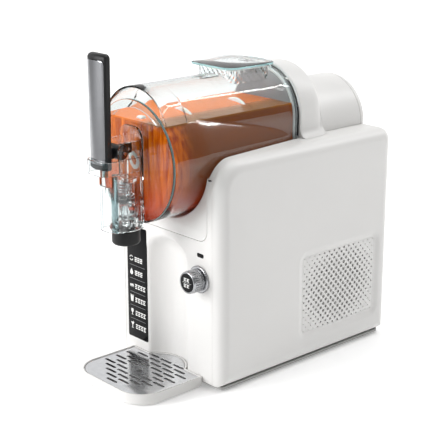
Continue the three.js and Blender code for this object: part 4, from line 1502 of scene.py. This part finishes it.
    def auger(self) -> bpy.types.Object:
        """The auger: blade, hub and paddles.

        Returns:
            The auger.
        """
        hub = turned(filleted([(0.0, -38.0), (11.0, -38.0), (11.0, 11.0), (0.0, 11.0)], 1.5), Axis.Y)
        spokes = block((-54, 54), (3, 9), (-5, 5), 1.0)
        paddle = block((-5, 5), (-38, -32), (-52, 52), 1.0)
        bars = [block((side * 50 - 3.5, side * 50 + 3.5), (3, 20), (-5, 5), 1.0) for side in (-1, 1)]
        tip = rod(Axis.Y, 54, (-60, 170), steps=160)
        bore = rod(Axis.Y, 4.05, (-60, 60))
        lift = (0, 0, self.axis)
        steps = [
            (Join.ADD, [f.moved(lift) for f in (spokes, paddle, *bars)]),
            (Join.KEEP, [tip.moved(lift)]),
            (Join.ADD, [self.helix().moved(lift)]),
            (Join.CUT, [bore.moved(lift)]),
        ]
        return shaped(hub.moved(lift).mesh("auger_screw"), steps)

    def cold_drum(self) -> Form:
        """Evaporator cup inside the auger.

        Returns:
            The cup.
        """
        profile = [(6, 14), (36, 14), (36, 160), (34.5, 160), (34.5, 17), (8, 17), (8, 160), (6, 160)]
        return turned(filleted(profile, 1.5, 4, loop=True), Axis.Y, (0, 0, self.axis), 128, hollow=True)

    def rear_ring(self, insets: Flat, y: Flat) -> Form:
        """Ring that fits the drum's rear opening.

        Args:
            insets: Inset of its outer and inner side.
            y: Limits in depth.

        Returns:
            The ring.
        """
        outer, inner = insets
        corners = ((outer, y[0]), (outer, y[1]), (inner, y[1]), (inner, y[0]))
        return loft([self.ring(self.rear, inset, at) for inset, at in corners], loop=True)

    def build(self) -> None:
        """Makes and dresses the drum and what is in it."""
        settle(self.vessel(), "drum", CLEAR_COPOLYESTER, ["drum_vessel"], 32)
        settle(self.cover(), "drum", CLEAR_COPOLYESTER, ["front_cover"])
        settle(self.lid_plate(), "lid", CLEAR_COPOLYESTER, ["lid"])
        settle(self.drink(), "drum", ORANGE_DRINK)
        settle(self.auger(), "auger", ACETAL, ["auger"])
        settle(self.cold_drum().mesh("cold_cup"), "base", POLISHED_STAINLESS, ["evaporator"])
        bulkhead = loft([self.ring(self.rear, self.wall + 2.6, y) for y in (160.4, 165.5)])
        hole = rod(Axis.Y, 5, (150, 170), (0, 0, self.axis))
        made = softened(shaped(bulkhead.mesh("bulkhead"), [(Join.CUT, [hole])]), 0.8)
        settle(made, "base", GREY_MOULDING, ["rear_bulkhead"])
        gasket = self.rear_ring((self.wall + 0.3, self.wall + 2.3), (161, 165)).mesh("gasket")
        settle(gasket, "base", PALE_SILICONE, ["drum_gasket"])
        dress(["drive_gear", "front_bush", "lid_seal"], ACETAL)
        dress(["drive_shaft", "lid_pin", "motor_pinion"], PLATED_STEEL)
        dress(["shaft_seal"], NITRILE)


def partly(
    made: bpy.types.Object, finish: Finish, chosen: Callable[[bpy.types.MeshPolygon], bool]
) -> bpy.types.Object:
    """Gives some faces of a piece a second finish.

    Args:
        made: The piece, which has no finish yet.
        finish: The second finish.
        chosen: Tells whether a face gets it.

    Returns:
        The piece.
    """
    made.data.materials.clear()
    for _ in ("first", "second"):
        made.data.materials.append(finish.material())
    for face in made.data.polygons:
        face.material_index = 1 if chosen(face) else 0
    return made


def edged(made: bpy.types.Object, axis: Axis, finish: Finish) -> bpy.types.Object:
    """Gives the cut edge of a flat clear piece its own finish, with painted blue-green light.

    Args:
        made: The piece.
        axis: Axis that the piece faces.
        finish: Finish of its edge.

    Returns:
        The piece.
    """

    def on_edge(face: bpy.types.MeshPolygon) -> bool:
        """True for a face of the cut edge."""
        return abs(face.normal[axis.value]) < 0.6

    return partly(made, finish, on_edge)


def cornered(made: bpy.types.Object, finish: Finish) -> bpy.types.Object:
    """Gives the upright rounded corners of a clear moulding their own finish, with painted blue-grey lines
    of light.

    Args:
        made: The piece.
        finish: Finish of its corners.

    Returns:
        The piece.
    """
    slant, level, front = 0.45, 0.1, FRONT_FACE - 80 * MM

    def on_corner(face: bpy.types.MeshPolygon) -> bool:
        """True for a face that turns an upright corner at the front."""
        x, y, z = face.normal
        turned_corner = abs(x) > slant and abs(y) > slant and abs(z) < level
        return turned_corner and face.center.y < front

    return partly(made, finish, on_corner)


# ---------------------------------------------------------------- tap
@dataclass
class Tap:
    """Clear tap housing, piston, nozzle and the lever that works it."""

    middle: float = -62.2
    back: float = -50.2
    bore: float = 11.4
    outer: float = 13.4
    lip_front: float = -107.0
    pivot: Flat = (-76.0, 300.0)
    grip_front: float = -102.4
    grip_back: float = -91.5
    grip_half: float = 17.0
    foot: float = 281.5
    tip: float = 416.0

    def wall_form(self, half: float, front: float, radius: float, wall: float, z: Flat) -> Form:
        """U-shaped wall, open to the rear.

        Args:
            half: Half its width outside.
            front: Its foremost depth.
            radius: Radius of its front corners.
            wall: Its thickness.
            z: Limits in height.

        Returns:
            The wall.
        """
        rear, steps = self.back, 12
        bend = 2 * (steps + 1)
        rings = []
        for inset, height in ((0.4, z[0]), (0.0, z[0] + 0.4), (0.0, z[1] - 0.4), (0.4, z[1])):
            radii = [radius, radius, 0.1, 0.1]
            outside = round_rect((-half + inset, half - inset), (front + inset, rear), radii, steps)
            inner = wall - 2 * inset
            inside = round_rect(
                (-half + inset + inner, half - inset - inner),
                (front + inset + inner, rear),
                [radius - inner, radius - inner, 0.1, 0.1],
                steps,
            )
            hold = [(-half + inset, rear), *outside[:bend], (half - inset, rear)]
            turn = [(half - inset - inner, rear), *reversed(inside[:bend]), (-half + inset + inner, rear)]
            rings.append([(x, y, height) for x, y in hold + turn])
        return loft(rings)

    def housing(self) -> bpy.types.Object:
        """Clear housing: back plate, barrel, flared foot, guard and lip.

        Returns:
            The housing.
        """
        plan = rounded((-21, 21), (206, 327), [4, 4, 14, 14], 10, STEADY)
        back = plate(plan, Axis.Y, (self.back - 2.6, self.back), 0.6)
        centre = (0, self.middle, 0)
        barrel = rod(Axis.Z, self.outer, (205, 266), centre, 96)
        neck = self.outer - 0.4
        foot = [(0, 203.6), (19, 203.6), (20.4, 206), (18, 211), (neck, 217.5), (0, 217.5)]
        flange = turned(filleted(foot, 1.6), Axis.Z, centre, 96)
        walls = self.wall_form(18.6, -93, 15, 2.4, (205, 277))
        gate = block((-12, 12), (-110, -80), (260, 300))

        def ear(inset: float) -> Outline:
            """Side view of an ear, whose rear and foot stay where they are."""
            return round_rect((-84 + inset, self.back), (276.2, 312 - inset), [0.4, 0.4, 1, 9], 8)

        ears = [plate(ear, Axis.X, span, 0.3, 2) for span in ((-18.5, -16.3), (16.3, 18.5))]
        lip = self.wall_form(20.8, self.lip_front, 13, 2, (276, 293))
        y, z = self.pivot
        cuts = [
            rod(Axis.Z, self.bore, (195, 262), centre, 96),
            rod(Axis.Z, 4.2, (250, 290), centre),
            rod(Axis.X, 2.3, (-30, 30), (0, y, z)),
            rod(Axis.Y, 8, (self.middle, -30), (0, 0, 224)),
            block((-30, 30), (self.back, 0), (195, 340)),
        ]
        steps = [
            (Join.ADD, [walls]),
            (Join.CUT, [gate]),
            (Join.ADD, [barrel, flange, *ears, lip]),
            (Join.CUT, cuts),
        ]
        return cornered(shaped(back.mesh("tap_body"), steps), CLEAR_CORNER_PAINTED_LINES)

    def piston(self) -> bpy.types.Object:
        """Clear piston with its two lands and its eye.

        Returns:
            The piston.
        """
        profile = [
            (0, 206), (8, 206), (8.6, 208), (8.6, 211), (5, 214), (5, 236), (10.8, 236), (10.8, 237.6),
            (9.4, 238), (9.4, 242), (10.8, 242.4), (10.8, 246), (3.6, 246), (3.6, 290), (0, 290),
        ]
        centre = (0, self.middle, 0)
        body = turned(filleted(profile, 0.6, 3), Axis.Z, centre, 64)
        eye = block((-3.4, 3.4), (self.middle - 6.5, self.middle + 6.5), (286, 307), 0.8)
        slot = block((-5, 5), (self.middle - 4.2, self.middle + 4), (297.9, 302.1))
        return shaped(body.mesh("piston"), [(Join.ADD, [eye]), (Join.CUT, [slot])])

    def half_at(self, z: float) -> float:
        """Half the grip's width at a height.

        Args:
            z: The height.

        Returns:
            The half width.
        """
        return self.grip_half - 1.6 * (self.tip - z) / (self.tip - self.foot)

    def grip_ring(self, z: float, trim: float, depth: Flat) -> Ring:
        """Section of the grip: rounded back, softly bowed front.

        Args:
            z: Height of the section.
            trim: How far it is pulled in.
            depth: Its front and back.

        Returns:
            The ring.
        """
        half = self.half_at(z) - trim
        front, back = depth[0] + trim, depth[1] - trim * 0.4
        soft = 2.2
        ring = []
        for k in range(7):
            a = QUARTER * k / 6
            ring.append((half - soft * (1 - math.cos(a)), back - soft * (1 - math.sin(a)), z))
        for k in range(7):
            a = QUARTER * (1 + k / 6)
            ring.append((-half + soft * (1 + math.cos(a)), back - soft * (1 - math.sin(a)), z))
        for k in range(33):
            x = half * (k / 16 - 1)
            edge = max(0.0, abs(x) / half - 0.94) / 0.06
            ring.append((x, front + 3.2 * (x / half) ** 2 + 0.7 * edge * edge, z))
        return ring

    def face(self, grow: float, forward: float) -> Form:
        """Bowed strip let into the front of the grip.

        Args:
            grow: Clearance added all round.
            forward: How far it reaches forward.

        Returns:
            The strip.
        """
        low, high, corner = 288.9 - grow, 409.1 + grow, 3.5
        columns = 40
        rows = [corner * (1 - math.cos(QUARTER * k / 6)) for k in range(7)]
        levels = [low + r for r in rows] + [high - r for r in reversed(rows)]
        rings = []
        for z in levels:
            near = min(z - low, high - z, corner)
            pull = corner - math.sqrt(max(0.0, corner**2 - (corner - near) ** 2))
            half = self.half_at(z) - 2.1 + grow - pull
            bow = []
            for i in range(columns + 1):
                x = half * (2 * i / columns - 1)
                bow.append((x, self.grip_front + 3.2 * (x / self.grip_half) ** 2))
            swell = 0.5 * (forward == 0)
            crown = []
            for x, y in bow:
                crown.append((x, y - 0.5 - forward - swell * (1 - (x / (half + 0.01)) ** 6), z))
            behind = [(x, y + 0.7 + grow, z) for x, y in reversed(bow)]
            rings.append(crown + behind)
        return loft(rings)

    def lever(self) -> bpy.types.Object:
        """Black frame of the lever with its knuckle and fork.

        Returns:
            The frame.
        """
        depth = (self.grip_front, self.grip_back)
        ends = [(0.0, 2.6), (0.5, 1.5), (1.2, 0.7), (2.2, 0.15), (3.2, 0.0)]
        levels = [(self.foot + rise, trim) for rise, trim in ends]
        levels += [(self.tip - rise * 1.6, trim * 1.25) for rise, trim in reversed(ends)]
        grip = loft([self.grip_ring(z, trim, depth) for z, trim in levels])
        y, z = self.pivot
        knuckle = turned(filleted([(0, -14), (8.5, -14), (8.5, 14), (0, 14)], 1.2), Axis.X, (0, y, z), 64)
        arm = block((-8, 8), (self.grip_back - 2, y - 6), (293, 307), 1.5)
        prong = ((y + 5, self.middle + 6), (295, 305))
        fork = [block((side * 6 - 1.6, side * 6 + 1.6), *prong, 0.7) for side in (-1, 1)]
        slot = block((-4.2, 4.2), (y + 4.5, y + 30), (z - 15, z + 15))
        across = (-30, 30)
        bores = [rod(Axis.X, 2.05, across, (0, y, z)), rod(Axis.X, 1.55, across, (0, self.middle, z))]
        steps = [
            (Join.CUT, [self.face(0.3, 6)]),
            (Join.ADD, [knuckle, arm, *fork]),
            (Join.CUT, [slot, *bores]),
        ]
        return shaped(grip.mesh("lever"), steps)

    def build(self) -> None:
        """Makes and dresses the tap."""
        settle(self.housing(), "drum", CLEAR_TAP, ["tap_housing"], 32)
        settle(self.piston(), "piston", CLEAR_TAP, ["tap_piston"])
        profile = filleted([(9, 185), (15, 185), (17, 187.5), (17, 203.2), (9, 203.2)], 1.2, 4, loop=True)
        spout = turned(profile, Axis.Z, (0, self.middle, 0), 96, hollow=True)
        settle(spout.mesh("spout"), "drum", BLACK_ABS, ["nozzle"])
        settle(self.lever(), "lever", BLACK_ABS, ["lever_frame"], 30)
        strip = self.face(0, 0).mesh("lever_front")
        settle(strip, "lever", BRUSHED_STAINLESS, ["lever_face"], 30)
        turns, radius, low, high, steps = 4, 7.6, 247.3, 260.8, 32
        coil = []
        for i in range(turns * steps + 1):
            a = i / steps * math.tau
            rise = (high - low) * i / (turns * steps)
            coil.append((radius * math.cos(a), self.middle + radius * math.sin(a), low + rise))
        spring = tube(coil, 0.8).mesh("coil_spring")
        settle(spring, "drum", PLATED_STEEL, ["tap_spring"])
        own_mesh(spring)
        dress(["lever_pin", "link_pin"], PLATED_STEEL)
        dress(["piston_seal"], NITRILE)


# ---------------------------------------------------------------- controls
@dataclass
class Controls:
    """Touch panel, small window and the selector knob."""

    panel: tuple[Point, Point] = field(default_factory=partial(limits, "touch_panel"))
    window: tuple[Point, Point] = field(default_factory=partial(limits, "remote_window"))
    knob: Flat = (62.0, 140.5)
    radius: float = 14.0
    base: float = 17.0
    reach: float = 20.5
    ridges: int = 26
    rows: int = 6
    row_top: float = 134.6
    row_pitch: float = 18.4

    def ink(self, outline: Outline, y: float) -> Form:
        """A printed mark.

        Args:
            outline: Its outline across and up.
            y: Depth of the surface that it is printed on.

        Returns:
            The mark.
        """
        return loft([[place(p, level, Axis.Y) for p in outline] for level in (y - 0.07, y + 0.03)])

    def rule(self, across: Flat, up: Flat) -> Outline:
        """Outline of a straight printed line."""
        return [(across[0], up[0]), (across[1], up[0]), (across[1], up[1]), (across[0], up[1])]

    def arc(self, centre: Flat, radii: Flat, span: Flat, steps: int = 28) -> Outline:
        """Part of a ring.

        Args:
            centre: Its middle.
            radii: Inner and outer radius.
            span: First and last angle in degrees.
            steps: Steps along it.

        Returns:
            The outline.
        """
        turn = [math.radians(span[0] + (span[1] - span[0]) * k / steps) for k in range(steps + 1)]
        inner, outer = (
            [(centre[0] + radius * math.cos(a), centre[1] + radius * math.sin(a)) for a in turn]
            for radius in radii
        )
        return outer + inner[::-1]

    def symbols(self, x: float, z: float, row: int) -> list[Outline]:
        """Generic symbol of one row.

        Args:
            x: Its middle across.
            z: Its middle in height.
            row: Number of the row, from the top.

        Returns:
            Outlines of its parts.
        """

        def shift(points: Outline) -> Outline:
            """An outline moved to the symbol's middle."""
            return [(x + px, z + pz) for px, pz in points]

        drop = [(0, 4.6), (1.6, 2.2), (2.9, -0.4), (2.4, -3.0), (0, -4.2)]
        drop += [(-px, pz) for px, pz in reversed(drop[1:4])]
        cup = [(-3.0, 3.6), (3.0, 3.6), (2.2, -4.0), (-2.2, -4.0)]
        saucer = [(-3.6, -2.6), (3.7, -2.6), (3.7, -1.2), (-3.6, -1.2)]
        rim = [(-3.5, 4.1), (3.5, 4.1), (3.5, 4.9), (-3.5, 4.9)]
        goblet = [(-3.4, 3.8), (3.4, 3.8), (0.5, -0.2), (0.5, -3.4)]
        goblet += [(2.2, -4.2), (-2.2, -4.2), (-0.5, -3.4), (-0.5, -0.2)]
        tulip = [(-1.9, 4.4), (1.9, 4.4), (2.5, 1.0), (0.5, -1.4), (0.5, -3.4)]
        tulip += [(1.9, -4.2), (-1.9, -4.2), (-0.5, -3.4), (-0.5, -1.4), (-2.5, 1.0)]
        straw = [(0.6, 3.9), (1.4, 3.9), (2.6, 5.6), (1.7, 5.6)]
        choices = [
            [self.arc((x, z), (2.6, 3.6), (30, 170)), self.arc((x, z), (2.6, 3.6), (205, 345))],
            [shift(drop)],
            [circle(2.0, 24, (x - 1.8, z - 0.6)), circle(2.2, 24, (x + 1.7, z - 0.4)), shift(saucer)],
            [shift(cup), shift(rim)],
            [shift(tulip)],
            [shift(goblet), shift(straw)],
        ]
        return choices[row % len(choices)]

    def captions(self, x: float, z: float, count: int, size: Flat) -> list[Outline]:
        """Plain bars in place of words.

        Args:
            x: Where the bars begin.
            z: Their middle in height.
            count: Number of groups of bars.
            size: Width and height of a group.

        Returns:
            Outlines of the bars.
        """
        bars = []
        width, height = size
        spacing, thick, corner = 1.14, height * 0.115, height * 0.1
        for k in range(count):
            left = x + k * width * spacing
            for level, share in ((0.36, 1.0), (0.0, 0.72 + 0.28 * ((k * 2 + count) % 2)), (-0.36, 0.9)):
                middle = z + level * height
                bars.append(
                    round_rect((left, left + width * share), (middle - thick, middle + thick), corner, 3)
                )
        return bars

    def touch_panel(self) -> None:
        """Makes the panel, its symbols and dividers."""
        (x0, y0, z0), (x1, y1, z1) = self.panel
        panel = plate(rounded((x0, x1), (z0, z1), 2.7), Axis.Y, (y0, y1), 0.45)
        settle(panel.mesh("panel"), "base", BLACK_ACRYLIC, ["touch_panel"])
        marks = Form()
        lines = Form()
        for row in range(self.rows):
            z = self.row_top - row * self.row_pitch
            for outline in self.symbols(x0 + 8.6, z, row):
                marks.take(self.ink(outline, y0))
            count = 3 if row < 2 else 4
            for outline in self.captions(x0 + 15.2, z - 0.4, count, (4.7, 6.6)):
                marks.take(self.ink(outline, y0))
            if row < self.rows - 1:
                level = z - self.row_pitch / 2
                lines.take(self.ink(self.rule((x0 + 5, x1 - 4), (level, level + 0.45)), y0))
        settle(marks.mesh("panel_marks"), "base", WHITE_INK)
        settle(lines.mesh("panel_dividers"), "base", GREY_INK)
        (x0, y0, z0), (x1, y1, z1) = self.window
        window = plate(rounded((x0, x1), (z0, z1), 2.1), Axis.Y, (y0, y1), 0.4)
        settle(window.mesh("sensor_window"), "base", BLACK_ACRYLIC, ["remote_window"])

    def grip(self) -> bpy.types.Object:
        """Ridged knob with a bright rim.

        Returns:
            The knob.
        """
        share = (0.0, 0.1, 1.0, 1.0, 1.0, 0.1)  # height of a ridge at its six points
        unit = circle(1, self.ridges * len(share))
        smooth, ridged, front = 0.0, 1.5, -self.reach
        stations = [
            (1.2, smooth, -3.6), (0.4, smooth, -3.9), (0.3, smooth, -6.0),
            (0.0, ridged, -6.6), (0.0, ridged, front + 3.4), (0.3, smooth, front + 2.8),
            (0.3, smooth, front + 1.2), (0.7, smooth, front + 0.3), (1.2, smooth, front),
            (2.0, smooth, front), (2.2, smooth, front + 0.3), (2.2, smooth, front + 1.4),
        ]
        rings = []
        for inset, depth, y in stations:
            around = [self.radius - inset - depth * (1 - share[i % len(share)]) for i in range(len(unit))]
            rings.append(([(r * px, r * pz) for r, (px, pz) in zip(around, unit)], y))
        made = loft([[place(p, y, Axis.Y) for p in outline] for outline, y in rings])
        bore = rod(Axis.Y, 3.05, (-14, 0))
        spot = (self.knob[0], 0, self.knob[1])
        return shaped(made.moved(spot).mesh("selector"), [(Join.CUT, [bore.moved(spot)])])

    def selector(self) -> None:
        """Makes the knob with its base ring and its marked face."""
        spot = (self.knob[0], 0, self.knob[1])
        inner, outer = self.base - 6, self.base
        profile = [(inner, -0.3), (outer, -0.3), (outer, -2.4), (outer - 1, -3.2), (inner, -3.2)]
        ring = turned(filleted(profile, 0.7, 4, loop=True), Axis.Y, spot, 128, hollow=True)
        settle(ring.mesh("selector_ring"), "base", ANODISED, ["knob_bezel"])
        settle(self.grip(), "knob", ANODISED, ["knob"], 30)
        face = -self.reach - 0.1
        rim = self.radius - 2.6
        profile = [(0, face), (rim, face), (rim, face + 1.2), (0, face + 1.2)]
        cap = turned(filleted(profile, 0.4), Axis.Y, spot, 96)
        settle(cap.mesh("selector_face"), "knob", BLACK_ACRYLIC, ["knob_cap"])
        marks = Form()
        x, z = self.knob
        for level in (3.6, -3.9):
            for outline in self.captions(x - 5.4, z + level, 2, (4.6, 4.4)):
                marks.take(self.ink(outline, face))
        marks.take(self.ink(self.rule((x - 7.5, x + 7.5), (z - 0.2, z + 0.15)), face))
        settle(marks.mesh("selector_marks"), "knob", WHITE_INK)

    def build(self) -> None:
        """Makes and dresses the controls."""
        self.touch_panel()
        self.selector()
        dress(["encoder_shaft"], PLATED_STEEL)
        dress(["encoder_body"], BLACK_ABS)
        dress(["control_board"], SOLDER_MASK)


# ---------------------------------------------------------------- drip tray
@dataclass
class DripTray:
    """White tray and its slotted steel grid."""

    half: float = 67.0
    front: float = -101.0
    rear: float = -0.6
    corner: float = 34.0
    height: float = 15.4
    wall: float = 2.2
    floor: float = 2.4
    tongue: Flat = (-22.0, 41.2)

    def outline(self, inset: float) -> Outline:
        """Tray outline with a half-round tongue at the rear.

        Args:
            inset: How far it is pulled in.

        Returns:
            The outline, always with the same number of points.
        """
        half, rear, corner = self.half - inset, self.rear - inset, self.corner - inset
        front = self.front + inset
        middle, radius = self.tongue[0], self.tongue[1] - inset
        meet = math.acos((rear - middle) / radius)
        steps = 16
        points = []
        for k in range(steps + 1):
            a = QUARTER * (k / steps - 1)
            points.append((half - corner + corner * math.cos(a), front + corner + corner * math.sin(a)))
        points += [(half, rear - 1.2), (half - 1.2, rear)]
        for k in range(33):
            a = math.pi / 2 - meet + 2 * meet * k / 32
            points.append((radius * math.cos(a), middle + radius * math.sin(a)))
        points += [(-half + 1.2, rear), (-half, rear - 1.2)]
        for k in range(steps + 1):
            a = math.pi * (1 + k / steps / 2)
            points.append((-half + corner + corner * math.cos(a), front + corner + corner * math.sin(a)))
        return points

    def tray(self) -> Form:
        """The tray: rounded underside, flat rim and a ledge for the grid.

        Returns:
            The tray.
        """
        levels = [(4.2, 0.3), (3.2, 0.35), (1.7, 1.2), (0.7, 2.8), (0.2, 5.0), (0.0, 7.5)]
        levels.append((0.0, self.height - 1.3))
        lip = 1.3
        turn = [QUARTER * k / 5 for k in range(1, 6)]
        levels += [(lip * (1 - math.cos(a)), self.height - lip * (1 - math.sin(a))) for a in turn]
        levels += [
            (self.wall - 0.4, self.height), (self.wall, self.height - 0.4), (self.wall, 12.0),
            (self.wall + 1.8, 12.0), (self.wall + 1.8, self.floor + 1.2), (self.wall + 3.0, self.floor),
        ]
        return loft([[place(p, z, Axis.Z) for p in self.outline(inset)] for inset, z in levels])

    def grid_outline(self, inset: float) -> Outline:
        """Outline of the grid, which lies inside the tray's wall."""
        return self.outline(self.wall + 1.1 + inset)

    def grid(self) -> bpy.types.Object:
        """The grid with its staggered slots.

        Returns:
            The grid.
        """
        panel = plate(self.grid_outline, Axis.Z, (12.3, 14.6), 0.5)
        slots = Form()
        rows, pitch, length, width = 11, 8.6, 20.0, 4.0
        for row in range(rows):
            y = -91 + row * pitch
            for column in range(5):
                x = -48 + 24 * column + (12 if row % 2 else 0)
                near_hub = math.hypot(max(0.0, abs(x) - length / 2), y + 48) < 13
                end = 52 - (-70 - y) * 0.9 if y < -70 else 60
                if abs(x) + length / 2 < end and not near_hub:
                    slot = rounded((x - length / 2, x + length / 2), (y, y + width), 1.9, 6)
                    slots.take(plate(slot, Axis.Z, (5, 20), 0.0, 1))
        hub = rod(Axis.Z, 3.4, (5, 20), (0, -46, 0))
        return softened(shaped(panel.mesh("grid"), [(Join.CUT, [slots, hub])]), 0.35, 40)

    def build(self) -> None:
        """Makes and dresses the tray."""
        settle(self.tray().mesh("tray"), "tray", WHITE_ABS, ["drip_tray"], 45)
        settle(self.grid(), "grid", BRUSHED_GRID, ["drip_grid"])


@dataclass
class Cooling:
    """Refrigeration unit and drive behind the covers, shown as the frame has them."""

    def build(self) -> None:
        """Dresses the unit."""
        dress(["compressor", "fan_motor"], BLACK_ENAMEL)
        dress(["fan_shroud", "fan_rotor"], BLACK_ABS)
        dress(["condenser", "motor_bracket", "drive_motor"], MILL_ALUMINIUM)
        dress(["discharge_line", "suction_line"], DRAWN_COPPER)


# ---------------------------------------------------------------- studio
@dataclass
class Studio:
    """Floor that is pale round the machine, a room, three soft lamps and the camera."""

    aim: Point = (0.0, 0.0, 0.2)
    eye: Point = (1.0895, -1.0007, 0.6337)
    gaze: Point = (-0.711, 0.641, -0.289)
    lens: float = 101.1
    shaded: Flat = (-0.5, -0.85)  # distance in front of the machine where the floor turns grey
    backdrop: Flat = (0.2, 0.95)  # brightness of the room behind the camera and behind the machine
    floor_tint: Flat = (0.24, 0.9)  # how much light the floor reflects in front and elsewhere
    floor_glow: Flat = (0.22, 0.6)  # light of its own near the machine and far away
    glow_over: Flat = (0.5, 1.6)  # distance over which that light grows, m
    lamps: tuple[tuple[str, Point, Flat, float], ...] = (  # name, place in m, size in m, power in W
        ("front_lamp", (-1.0, -2.4, 0.95), (1.6, 1.6), 60.0),
        ("top_lamp", (0.2, 0.2, 2.6), (2.2, 2.2), 27.0),
        ("strip_lamp", (0.62, 1.45, 1.75), (0.1, 1.5), 11.0),
    )

    def lamp(self, name: str, at: Point, size: Flat, power: float) -> None:
        """Adds a rectangular lamp that faces the machine.

        Args:
            name: Its name.
            at: Its place in metres.
            size: Its width and height in metres.
            power: Its power in watts.
        """
        data = bpy.data.lights.new(name, "AREA")
        data.shape = "RECTANGLE"
        data.size, data.size_y = size
        data.energy = power
        made = bpy.data.objects.new(name, data)
        made.location = at
        made.rotation_euler = (Vector(self.aim) - Vector(at)).to_track_quat("-Z", "Y").to_euler()
        bpy.context.scene.collection.objects.link(made)

    def camera(self) -> None:
        """Adds the camera."""
        data = bpy.data.cameras.new("camera")
        data.lens = self.lens
        data.sensor_width = 36.0
        data.clip_end = 60
        made = bpy.data.objects.new("camera", data)
        made.location = self.eye
        made.rotation_euler = Vector(self.gaze).to_track_quat("-Z", "Y").to_euler()
        bpy.context.scene.collection.objects.link(made)
        bpy.context.scene.camera = made

    def floor(self) -> None:
        """Adds the floor, which turns grey in front of the machine and glows more the farther it lies."""
        data = bpy.data.meshes.new("floor")
        edge = 30.0
        corners = [(-edge, -edge, 0), (edge, -edge, 0), (edge, edge, 0), (-edge, edge, 0)]
        data.from_pydata(corners, [], [(0, 1, 2, 3)])
        made = bpy.data.objects.new("floor", data)
        bpy.context.scene.collection.objects.link(made)
        paper = bpy.data.materials.new("white_paper")
        paper.use_nodes = True
        shader = paper.node_tree.nodes["Principled BSDF"]
        shader.inputs["Roughness"].default_value = 0.9
        shader.inputs["Specular IOR Level"].default_value = 0.1
        shader.inputs["Emission Color"].default_value = (1, 1, 1, 1)
        tree = paper.node_tree
        where = add_node(tree, "ShaderNodeTexCoord")
        parts = add_node(tree, "ShaderNodeSeparateXYZ", {}, {"Vector": where.outputs["Object"]})
        pale = add_node(
            tree,
            "ShaderNodeMapRange",
            {"From Min": self.shaded[1], "From Max": self.shaded[0], "To Min": 0.15, "To Max": 1.0},
            {"Value": parts.outputs["Y"]},
        )
        grey, white = self.floor_tint
        tint = add_node(
            tree,
            "ShaderNodeMix",
            {"data_type": "RGBA", 6: (grey, grey, grey, 1), 7: (white, white, white, 1)},
            {0: pale.outputs["Result"]},
        )
        far = add_node(tree, "ShaderNodeVectorMath", {"operation": "LENGTH"}, {0: where.outputs["Object"]})
        (near, distant), (weak, strong) = self.glow_over, self.floor_glow
        glow = add_node(
            tree,
            "ShaderNodeMapRange",
            {"From Min": near, "From Max": distant, "To Min": weak, "To Max": strong},
            {"Value": far.outputs["Value"]},
        )
        both = {0: glow.outputs["Result"], 1: pale.outputs["Result"]}
        lit = add_node(tree, "ShaderNodeMath", {"operation": "MULTIPLY"}, both)
        tree.links.new(tint.outputs[2], shader.inputs["Base Color"])
        tree.links.new(lit.outputs["Value"], shader.inputs["Emission Strength"])
        data.materials.append(paper)

    def room(self, tree: bpy.types.NodeTree) -> None:
        """Lights the room: bright behind the machine, dimmer opposite and below the floor's level.

        Args:
            tree: The world's node tree.
        """
        where = add_node(tree, "ShaderNodeTexCoord")
        parts = add_node(tree, "ShaderNodeSeparateXYZ", {}, {"Vector": where.outputs["Generated"]})
        above = add_node(
            tree,
            "ShaderNodeMapRange",
            {"From Min": -0.08, "From Max": 0.04, "To Min": 0.1, "To Max": 1.0},
            {"Value": parts.outputs["Z"]},
        )
        away = Vector(self.gaze).to_2d().normalized()
        facing = add_node(
            tree,
            "ShaderNodeVectorMath",
            {"operation": "DOT_PRODUCT", 1: (away.x, away.y, 0.0)},
            {0: where.outputs["Generated"]},
        )
        low, high = self.backdrop
        ends = {"From Min": -0.4, "From Max": 0.7, "To Min": low, "To Max": high}
        ends["interpolation_type"] = "SMOOTHSTEP"
        behind = add_node(tree, "ShaderNodeMapRange", ends, {"Value": facing.outputs["Value"]})
        level = add_node(
            tree,
            "ShaderNodeMath",
            {"operation": "MULTIPLY"},
            {0: above.outputs["Result"], 1: behind.outputs["Result"]},
        )
        background = tree.nodes["Background"]
        background.inputs["Color"].default_value = (1, 1, 1, 1)
        tree.links.new(level.outputs["Value"], background.inputs["Strength"])

    def build(self) -> None:
        """Makes the studio."""
        world = bpy.data.worlds.new("studio")
        bpy.context.scene.world = world
        world.use_nodes = True
        self.room(world.node_tree)
        bpy.context.scene.view_settings.view_transform = "Standard"
        self.camera()
        self.floor()
        for name, at, size, power in self.lamps:
            self.lamp(name, at, size, power)


def main() -> None:
    """Builds the machine in order and reports each piece."""
    logging.basicConfig(level=logging.INFO, format="%(message)s")
    drum = Drum()
    Studio().build()
    Cabinet().build(drum)
    Hood().build()
    drum.build()
    Tap().build()
    Controls().build()
    DripTray().build()
    Cooling().build()


if __name__ == "__main__":
    main()
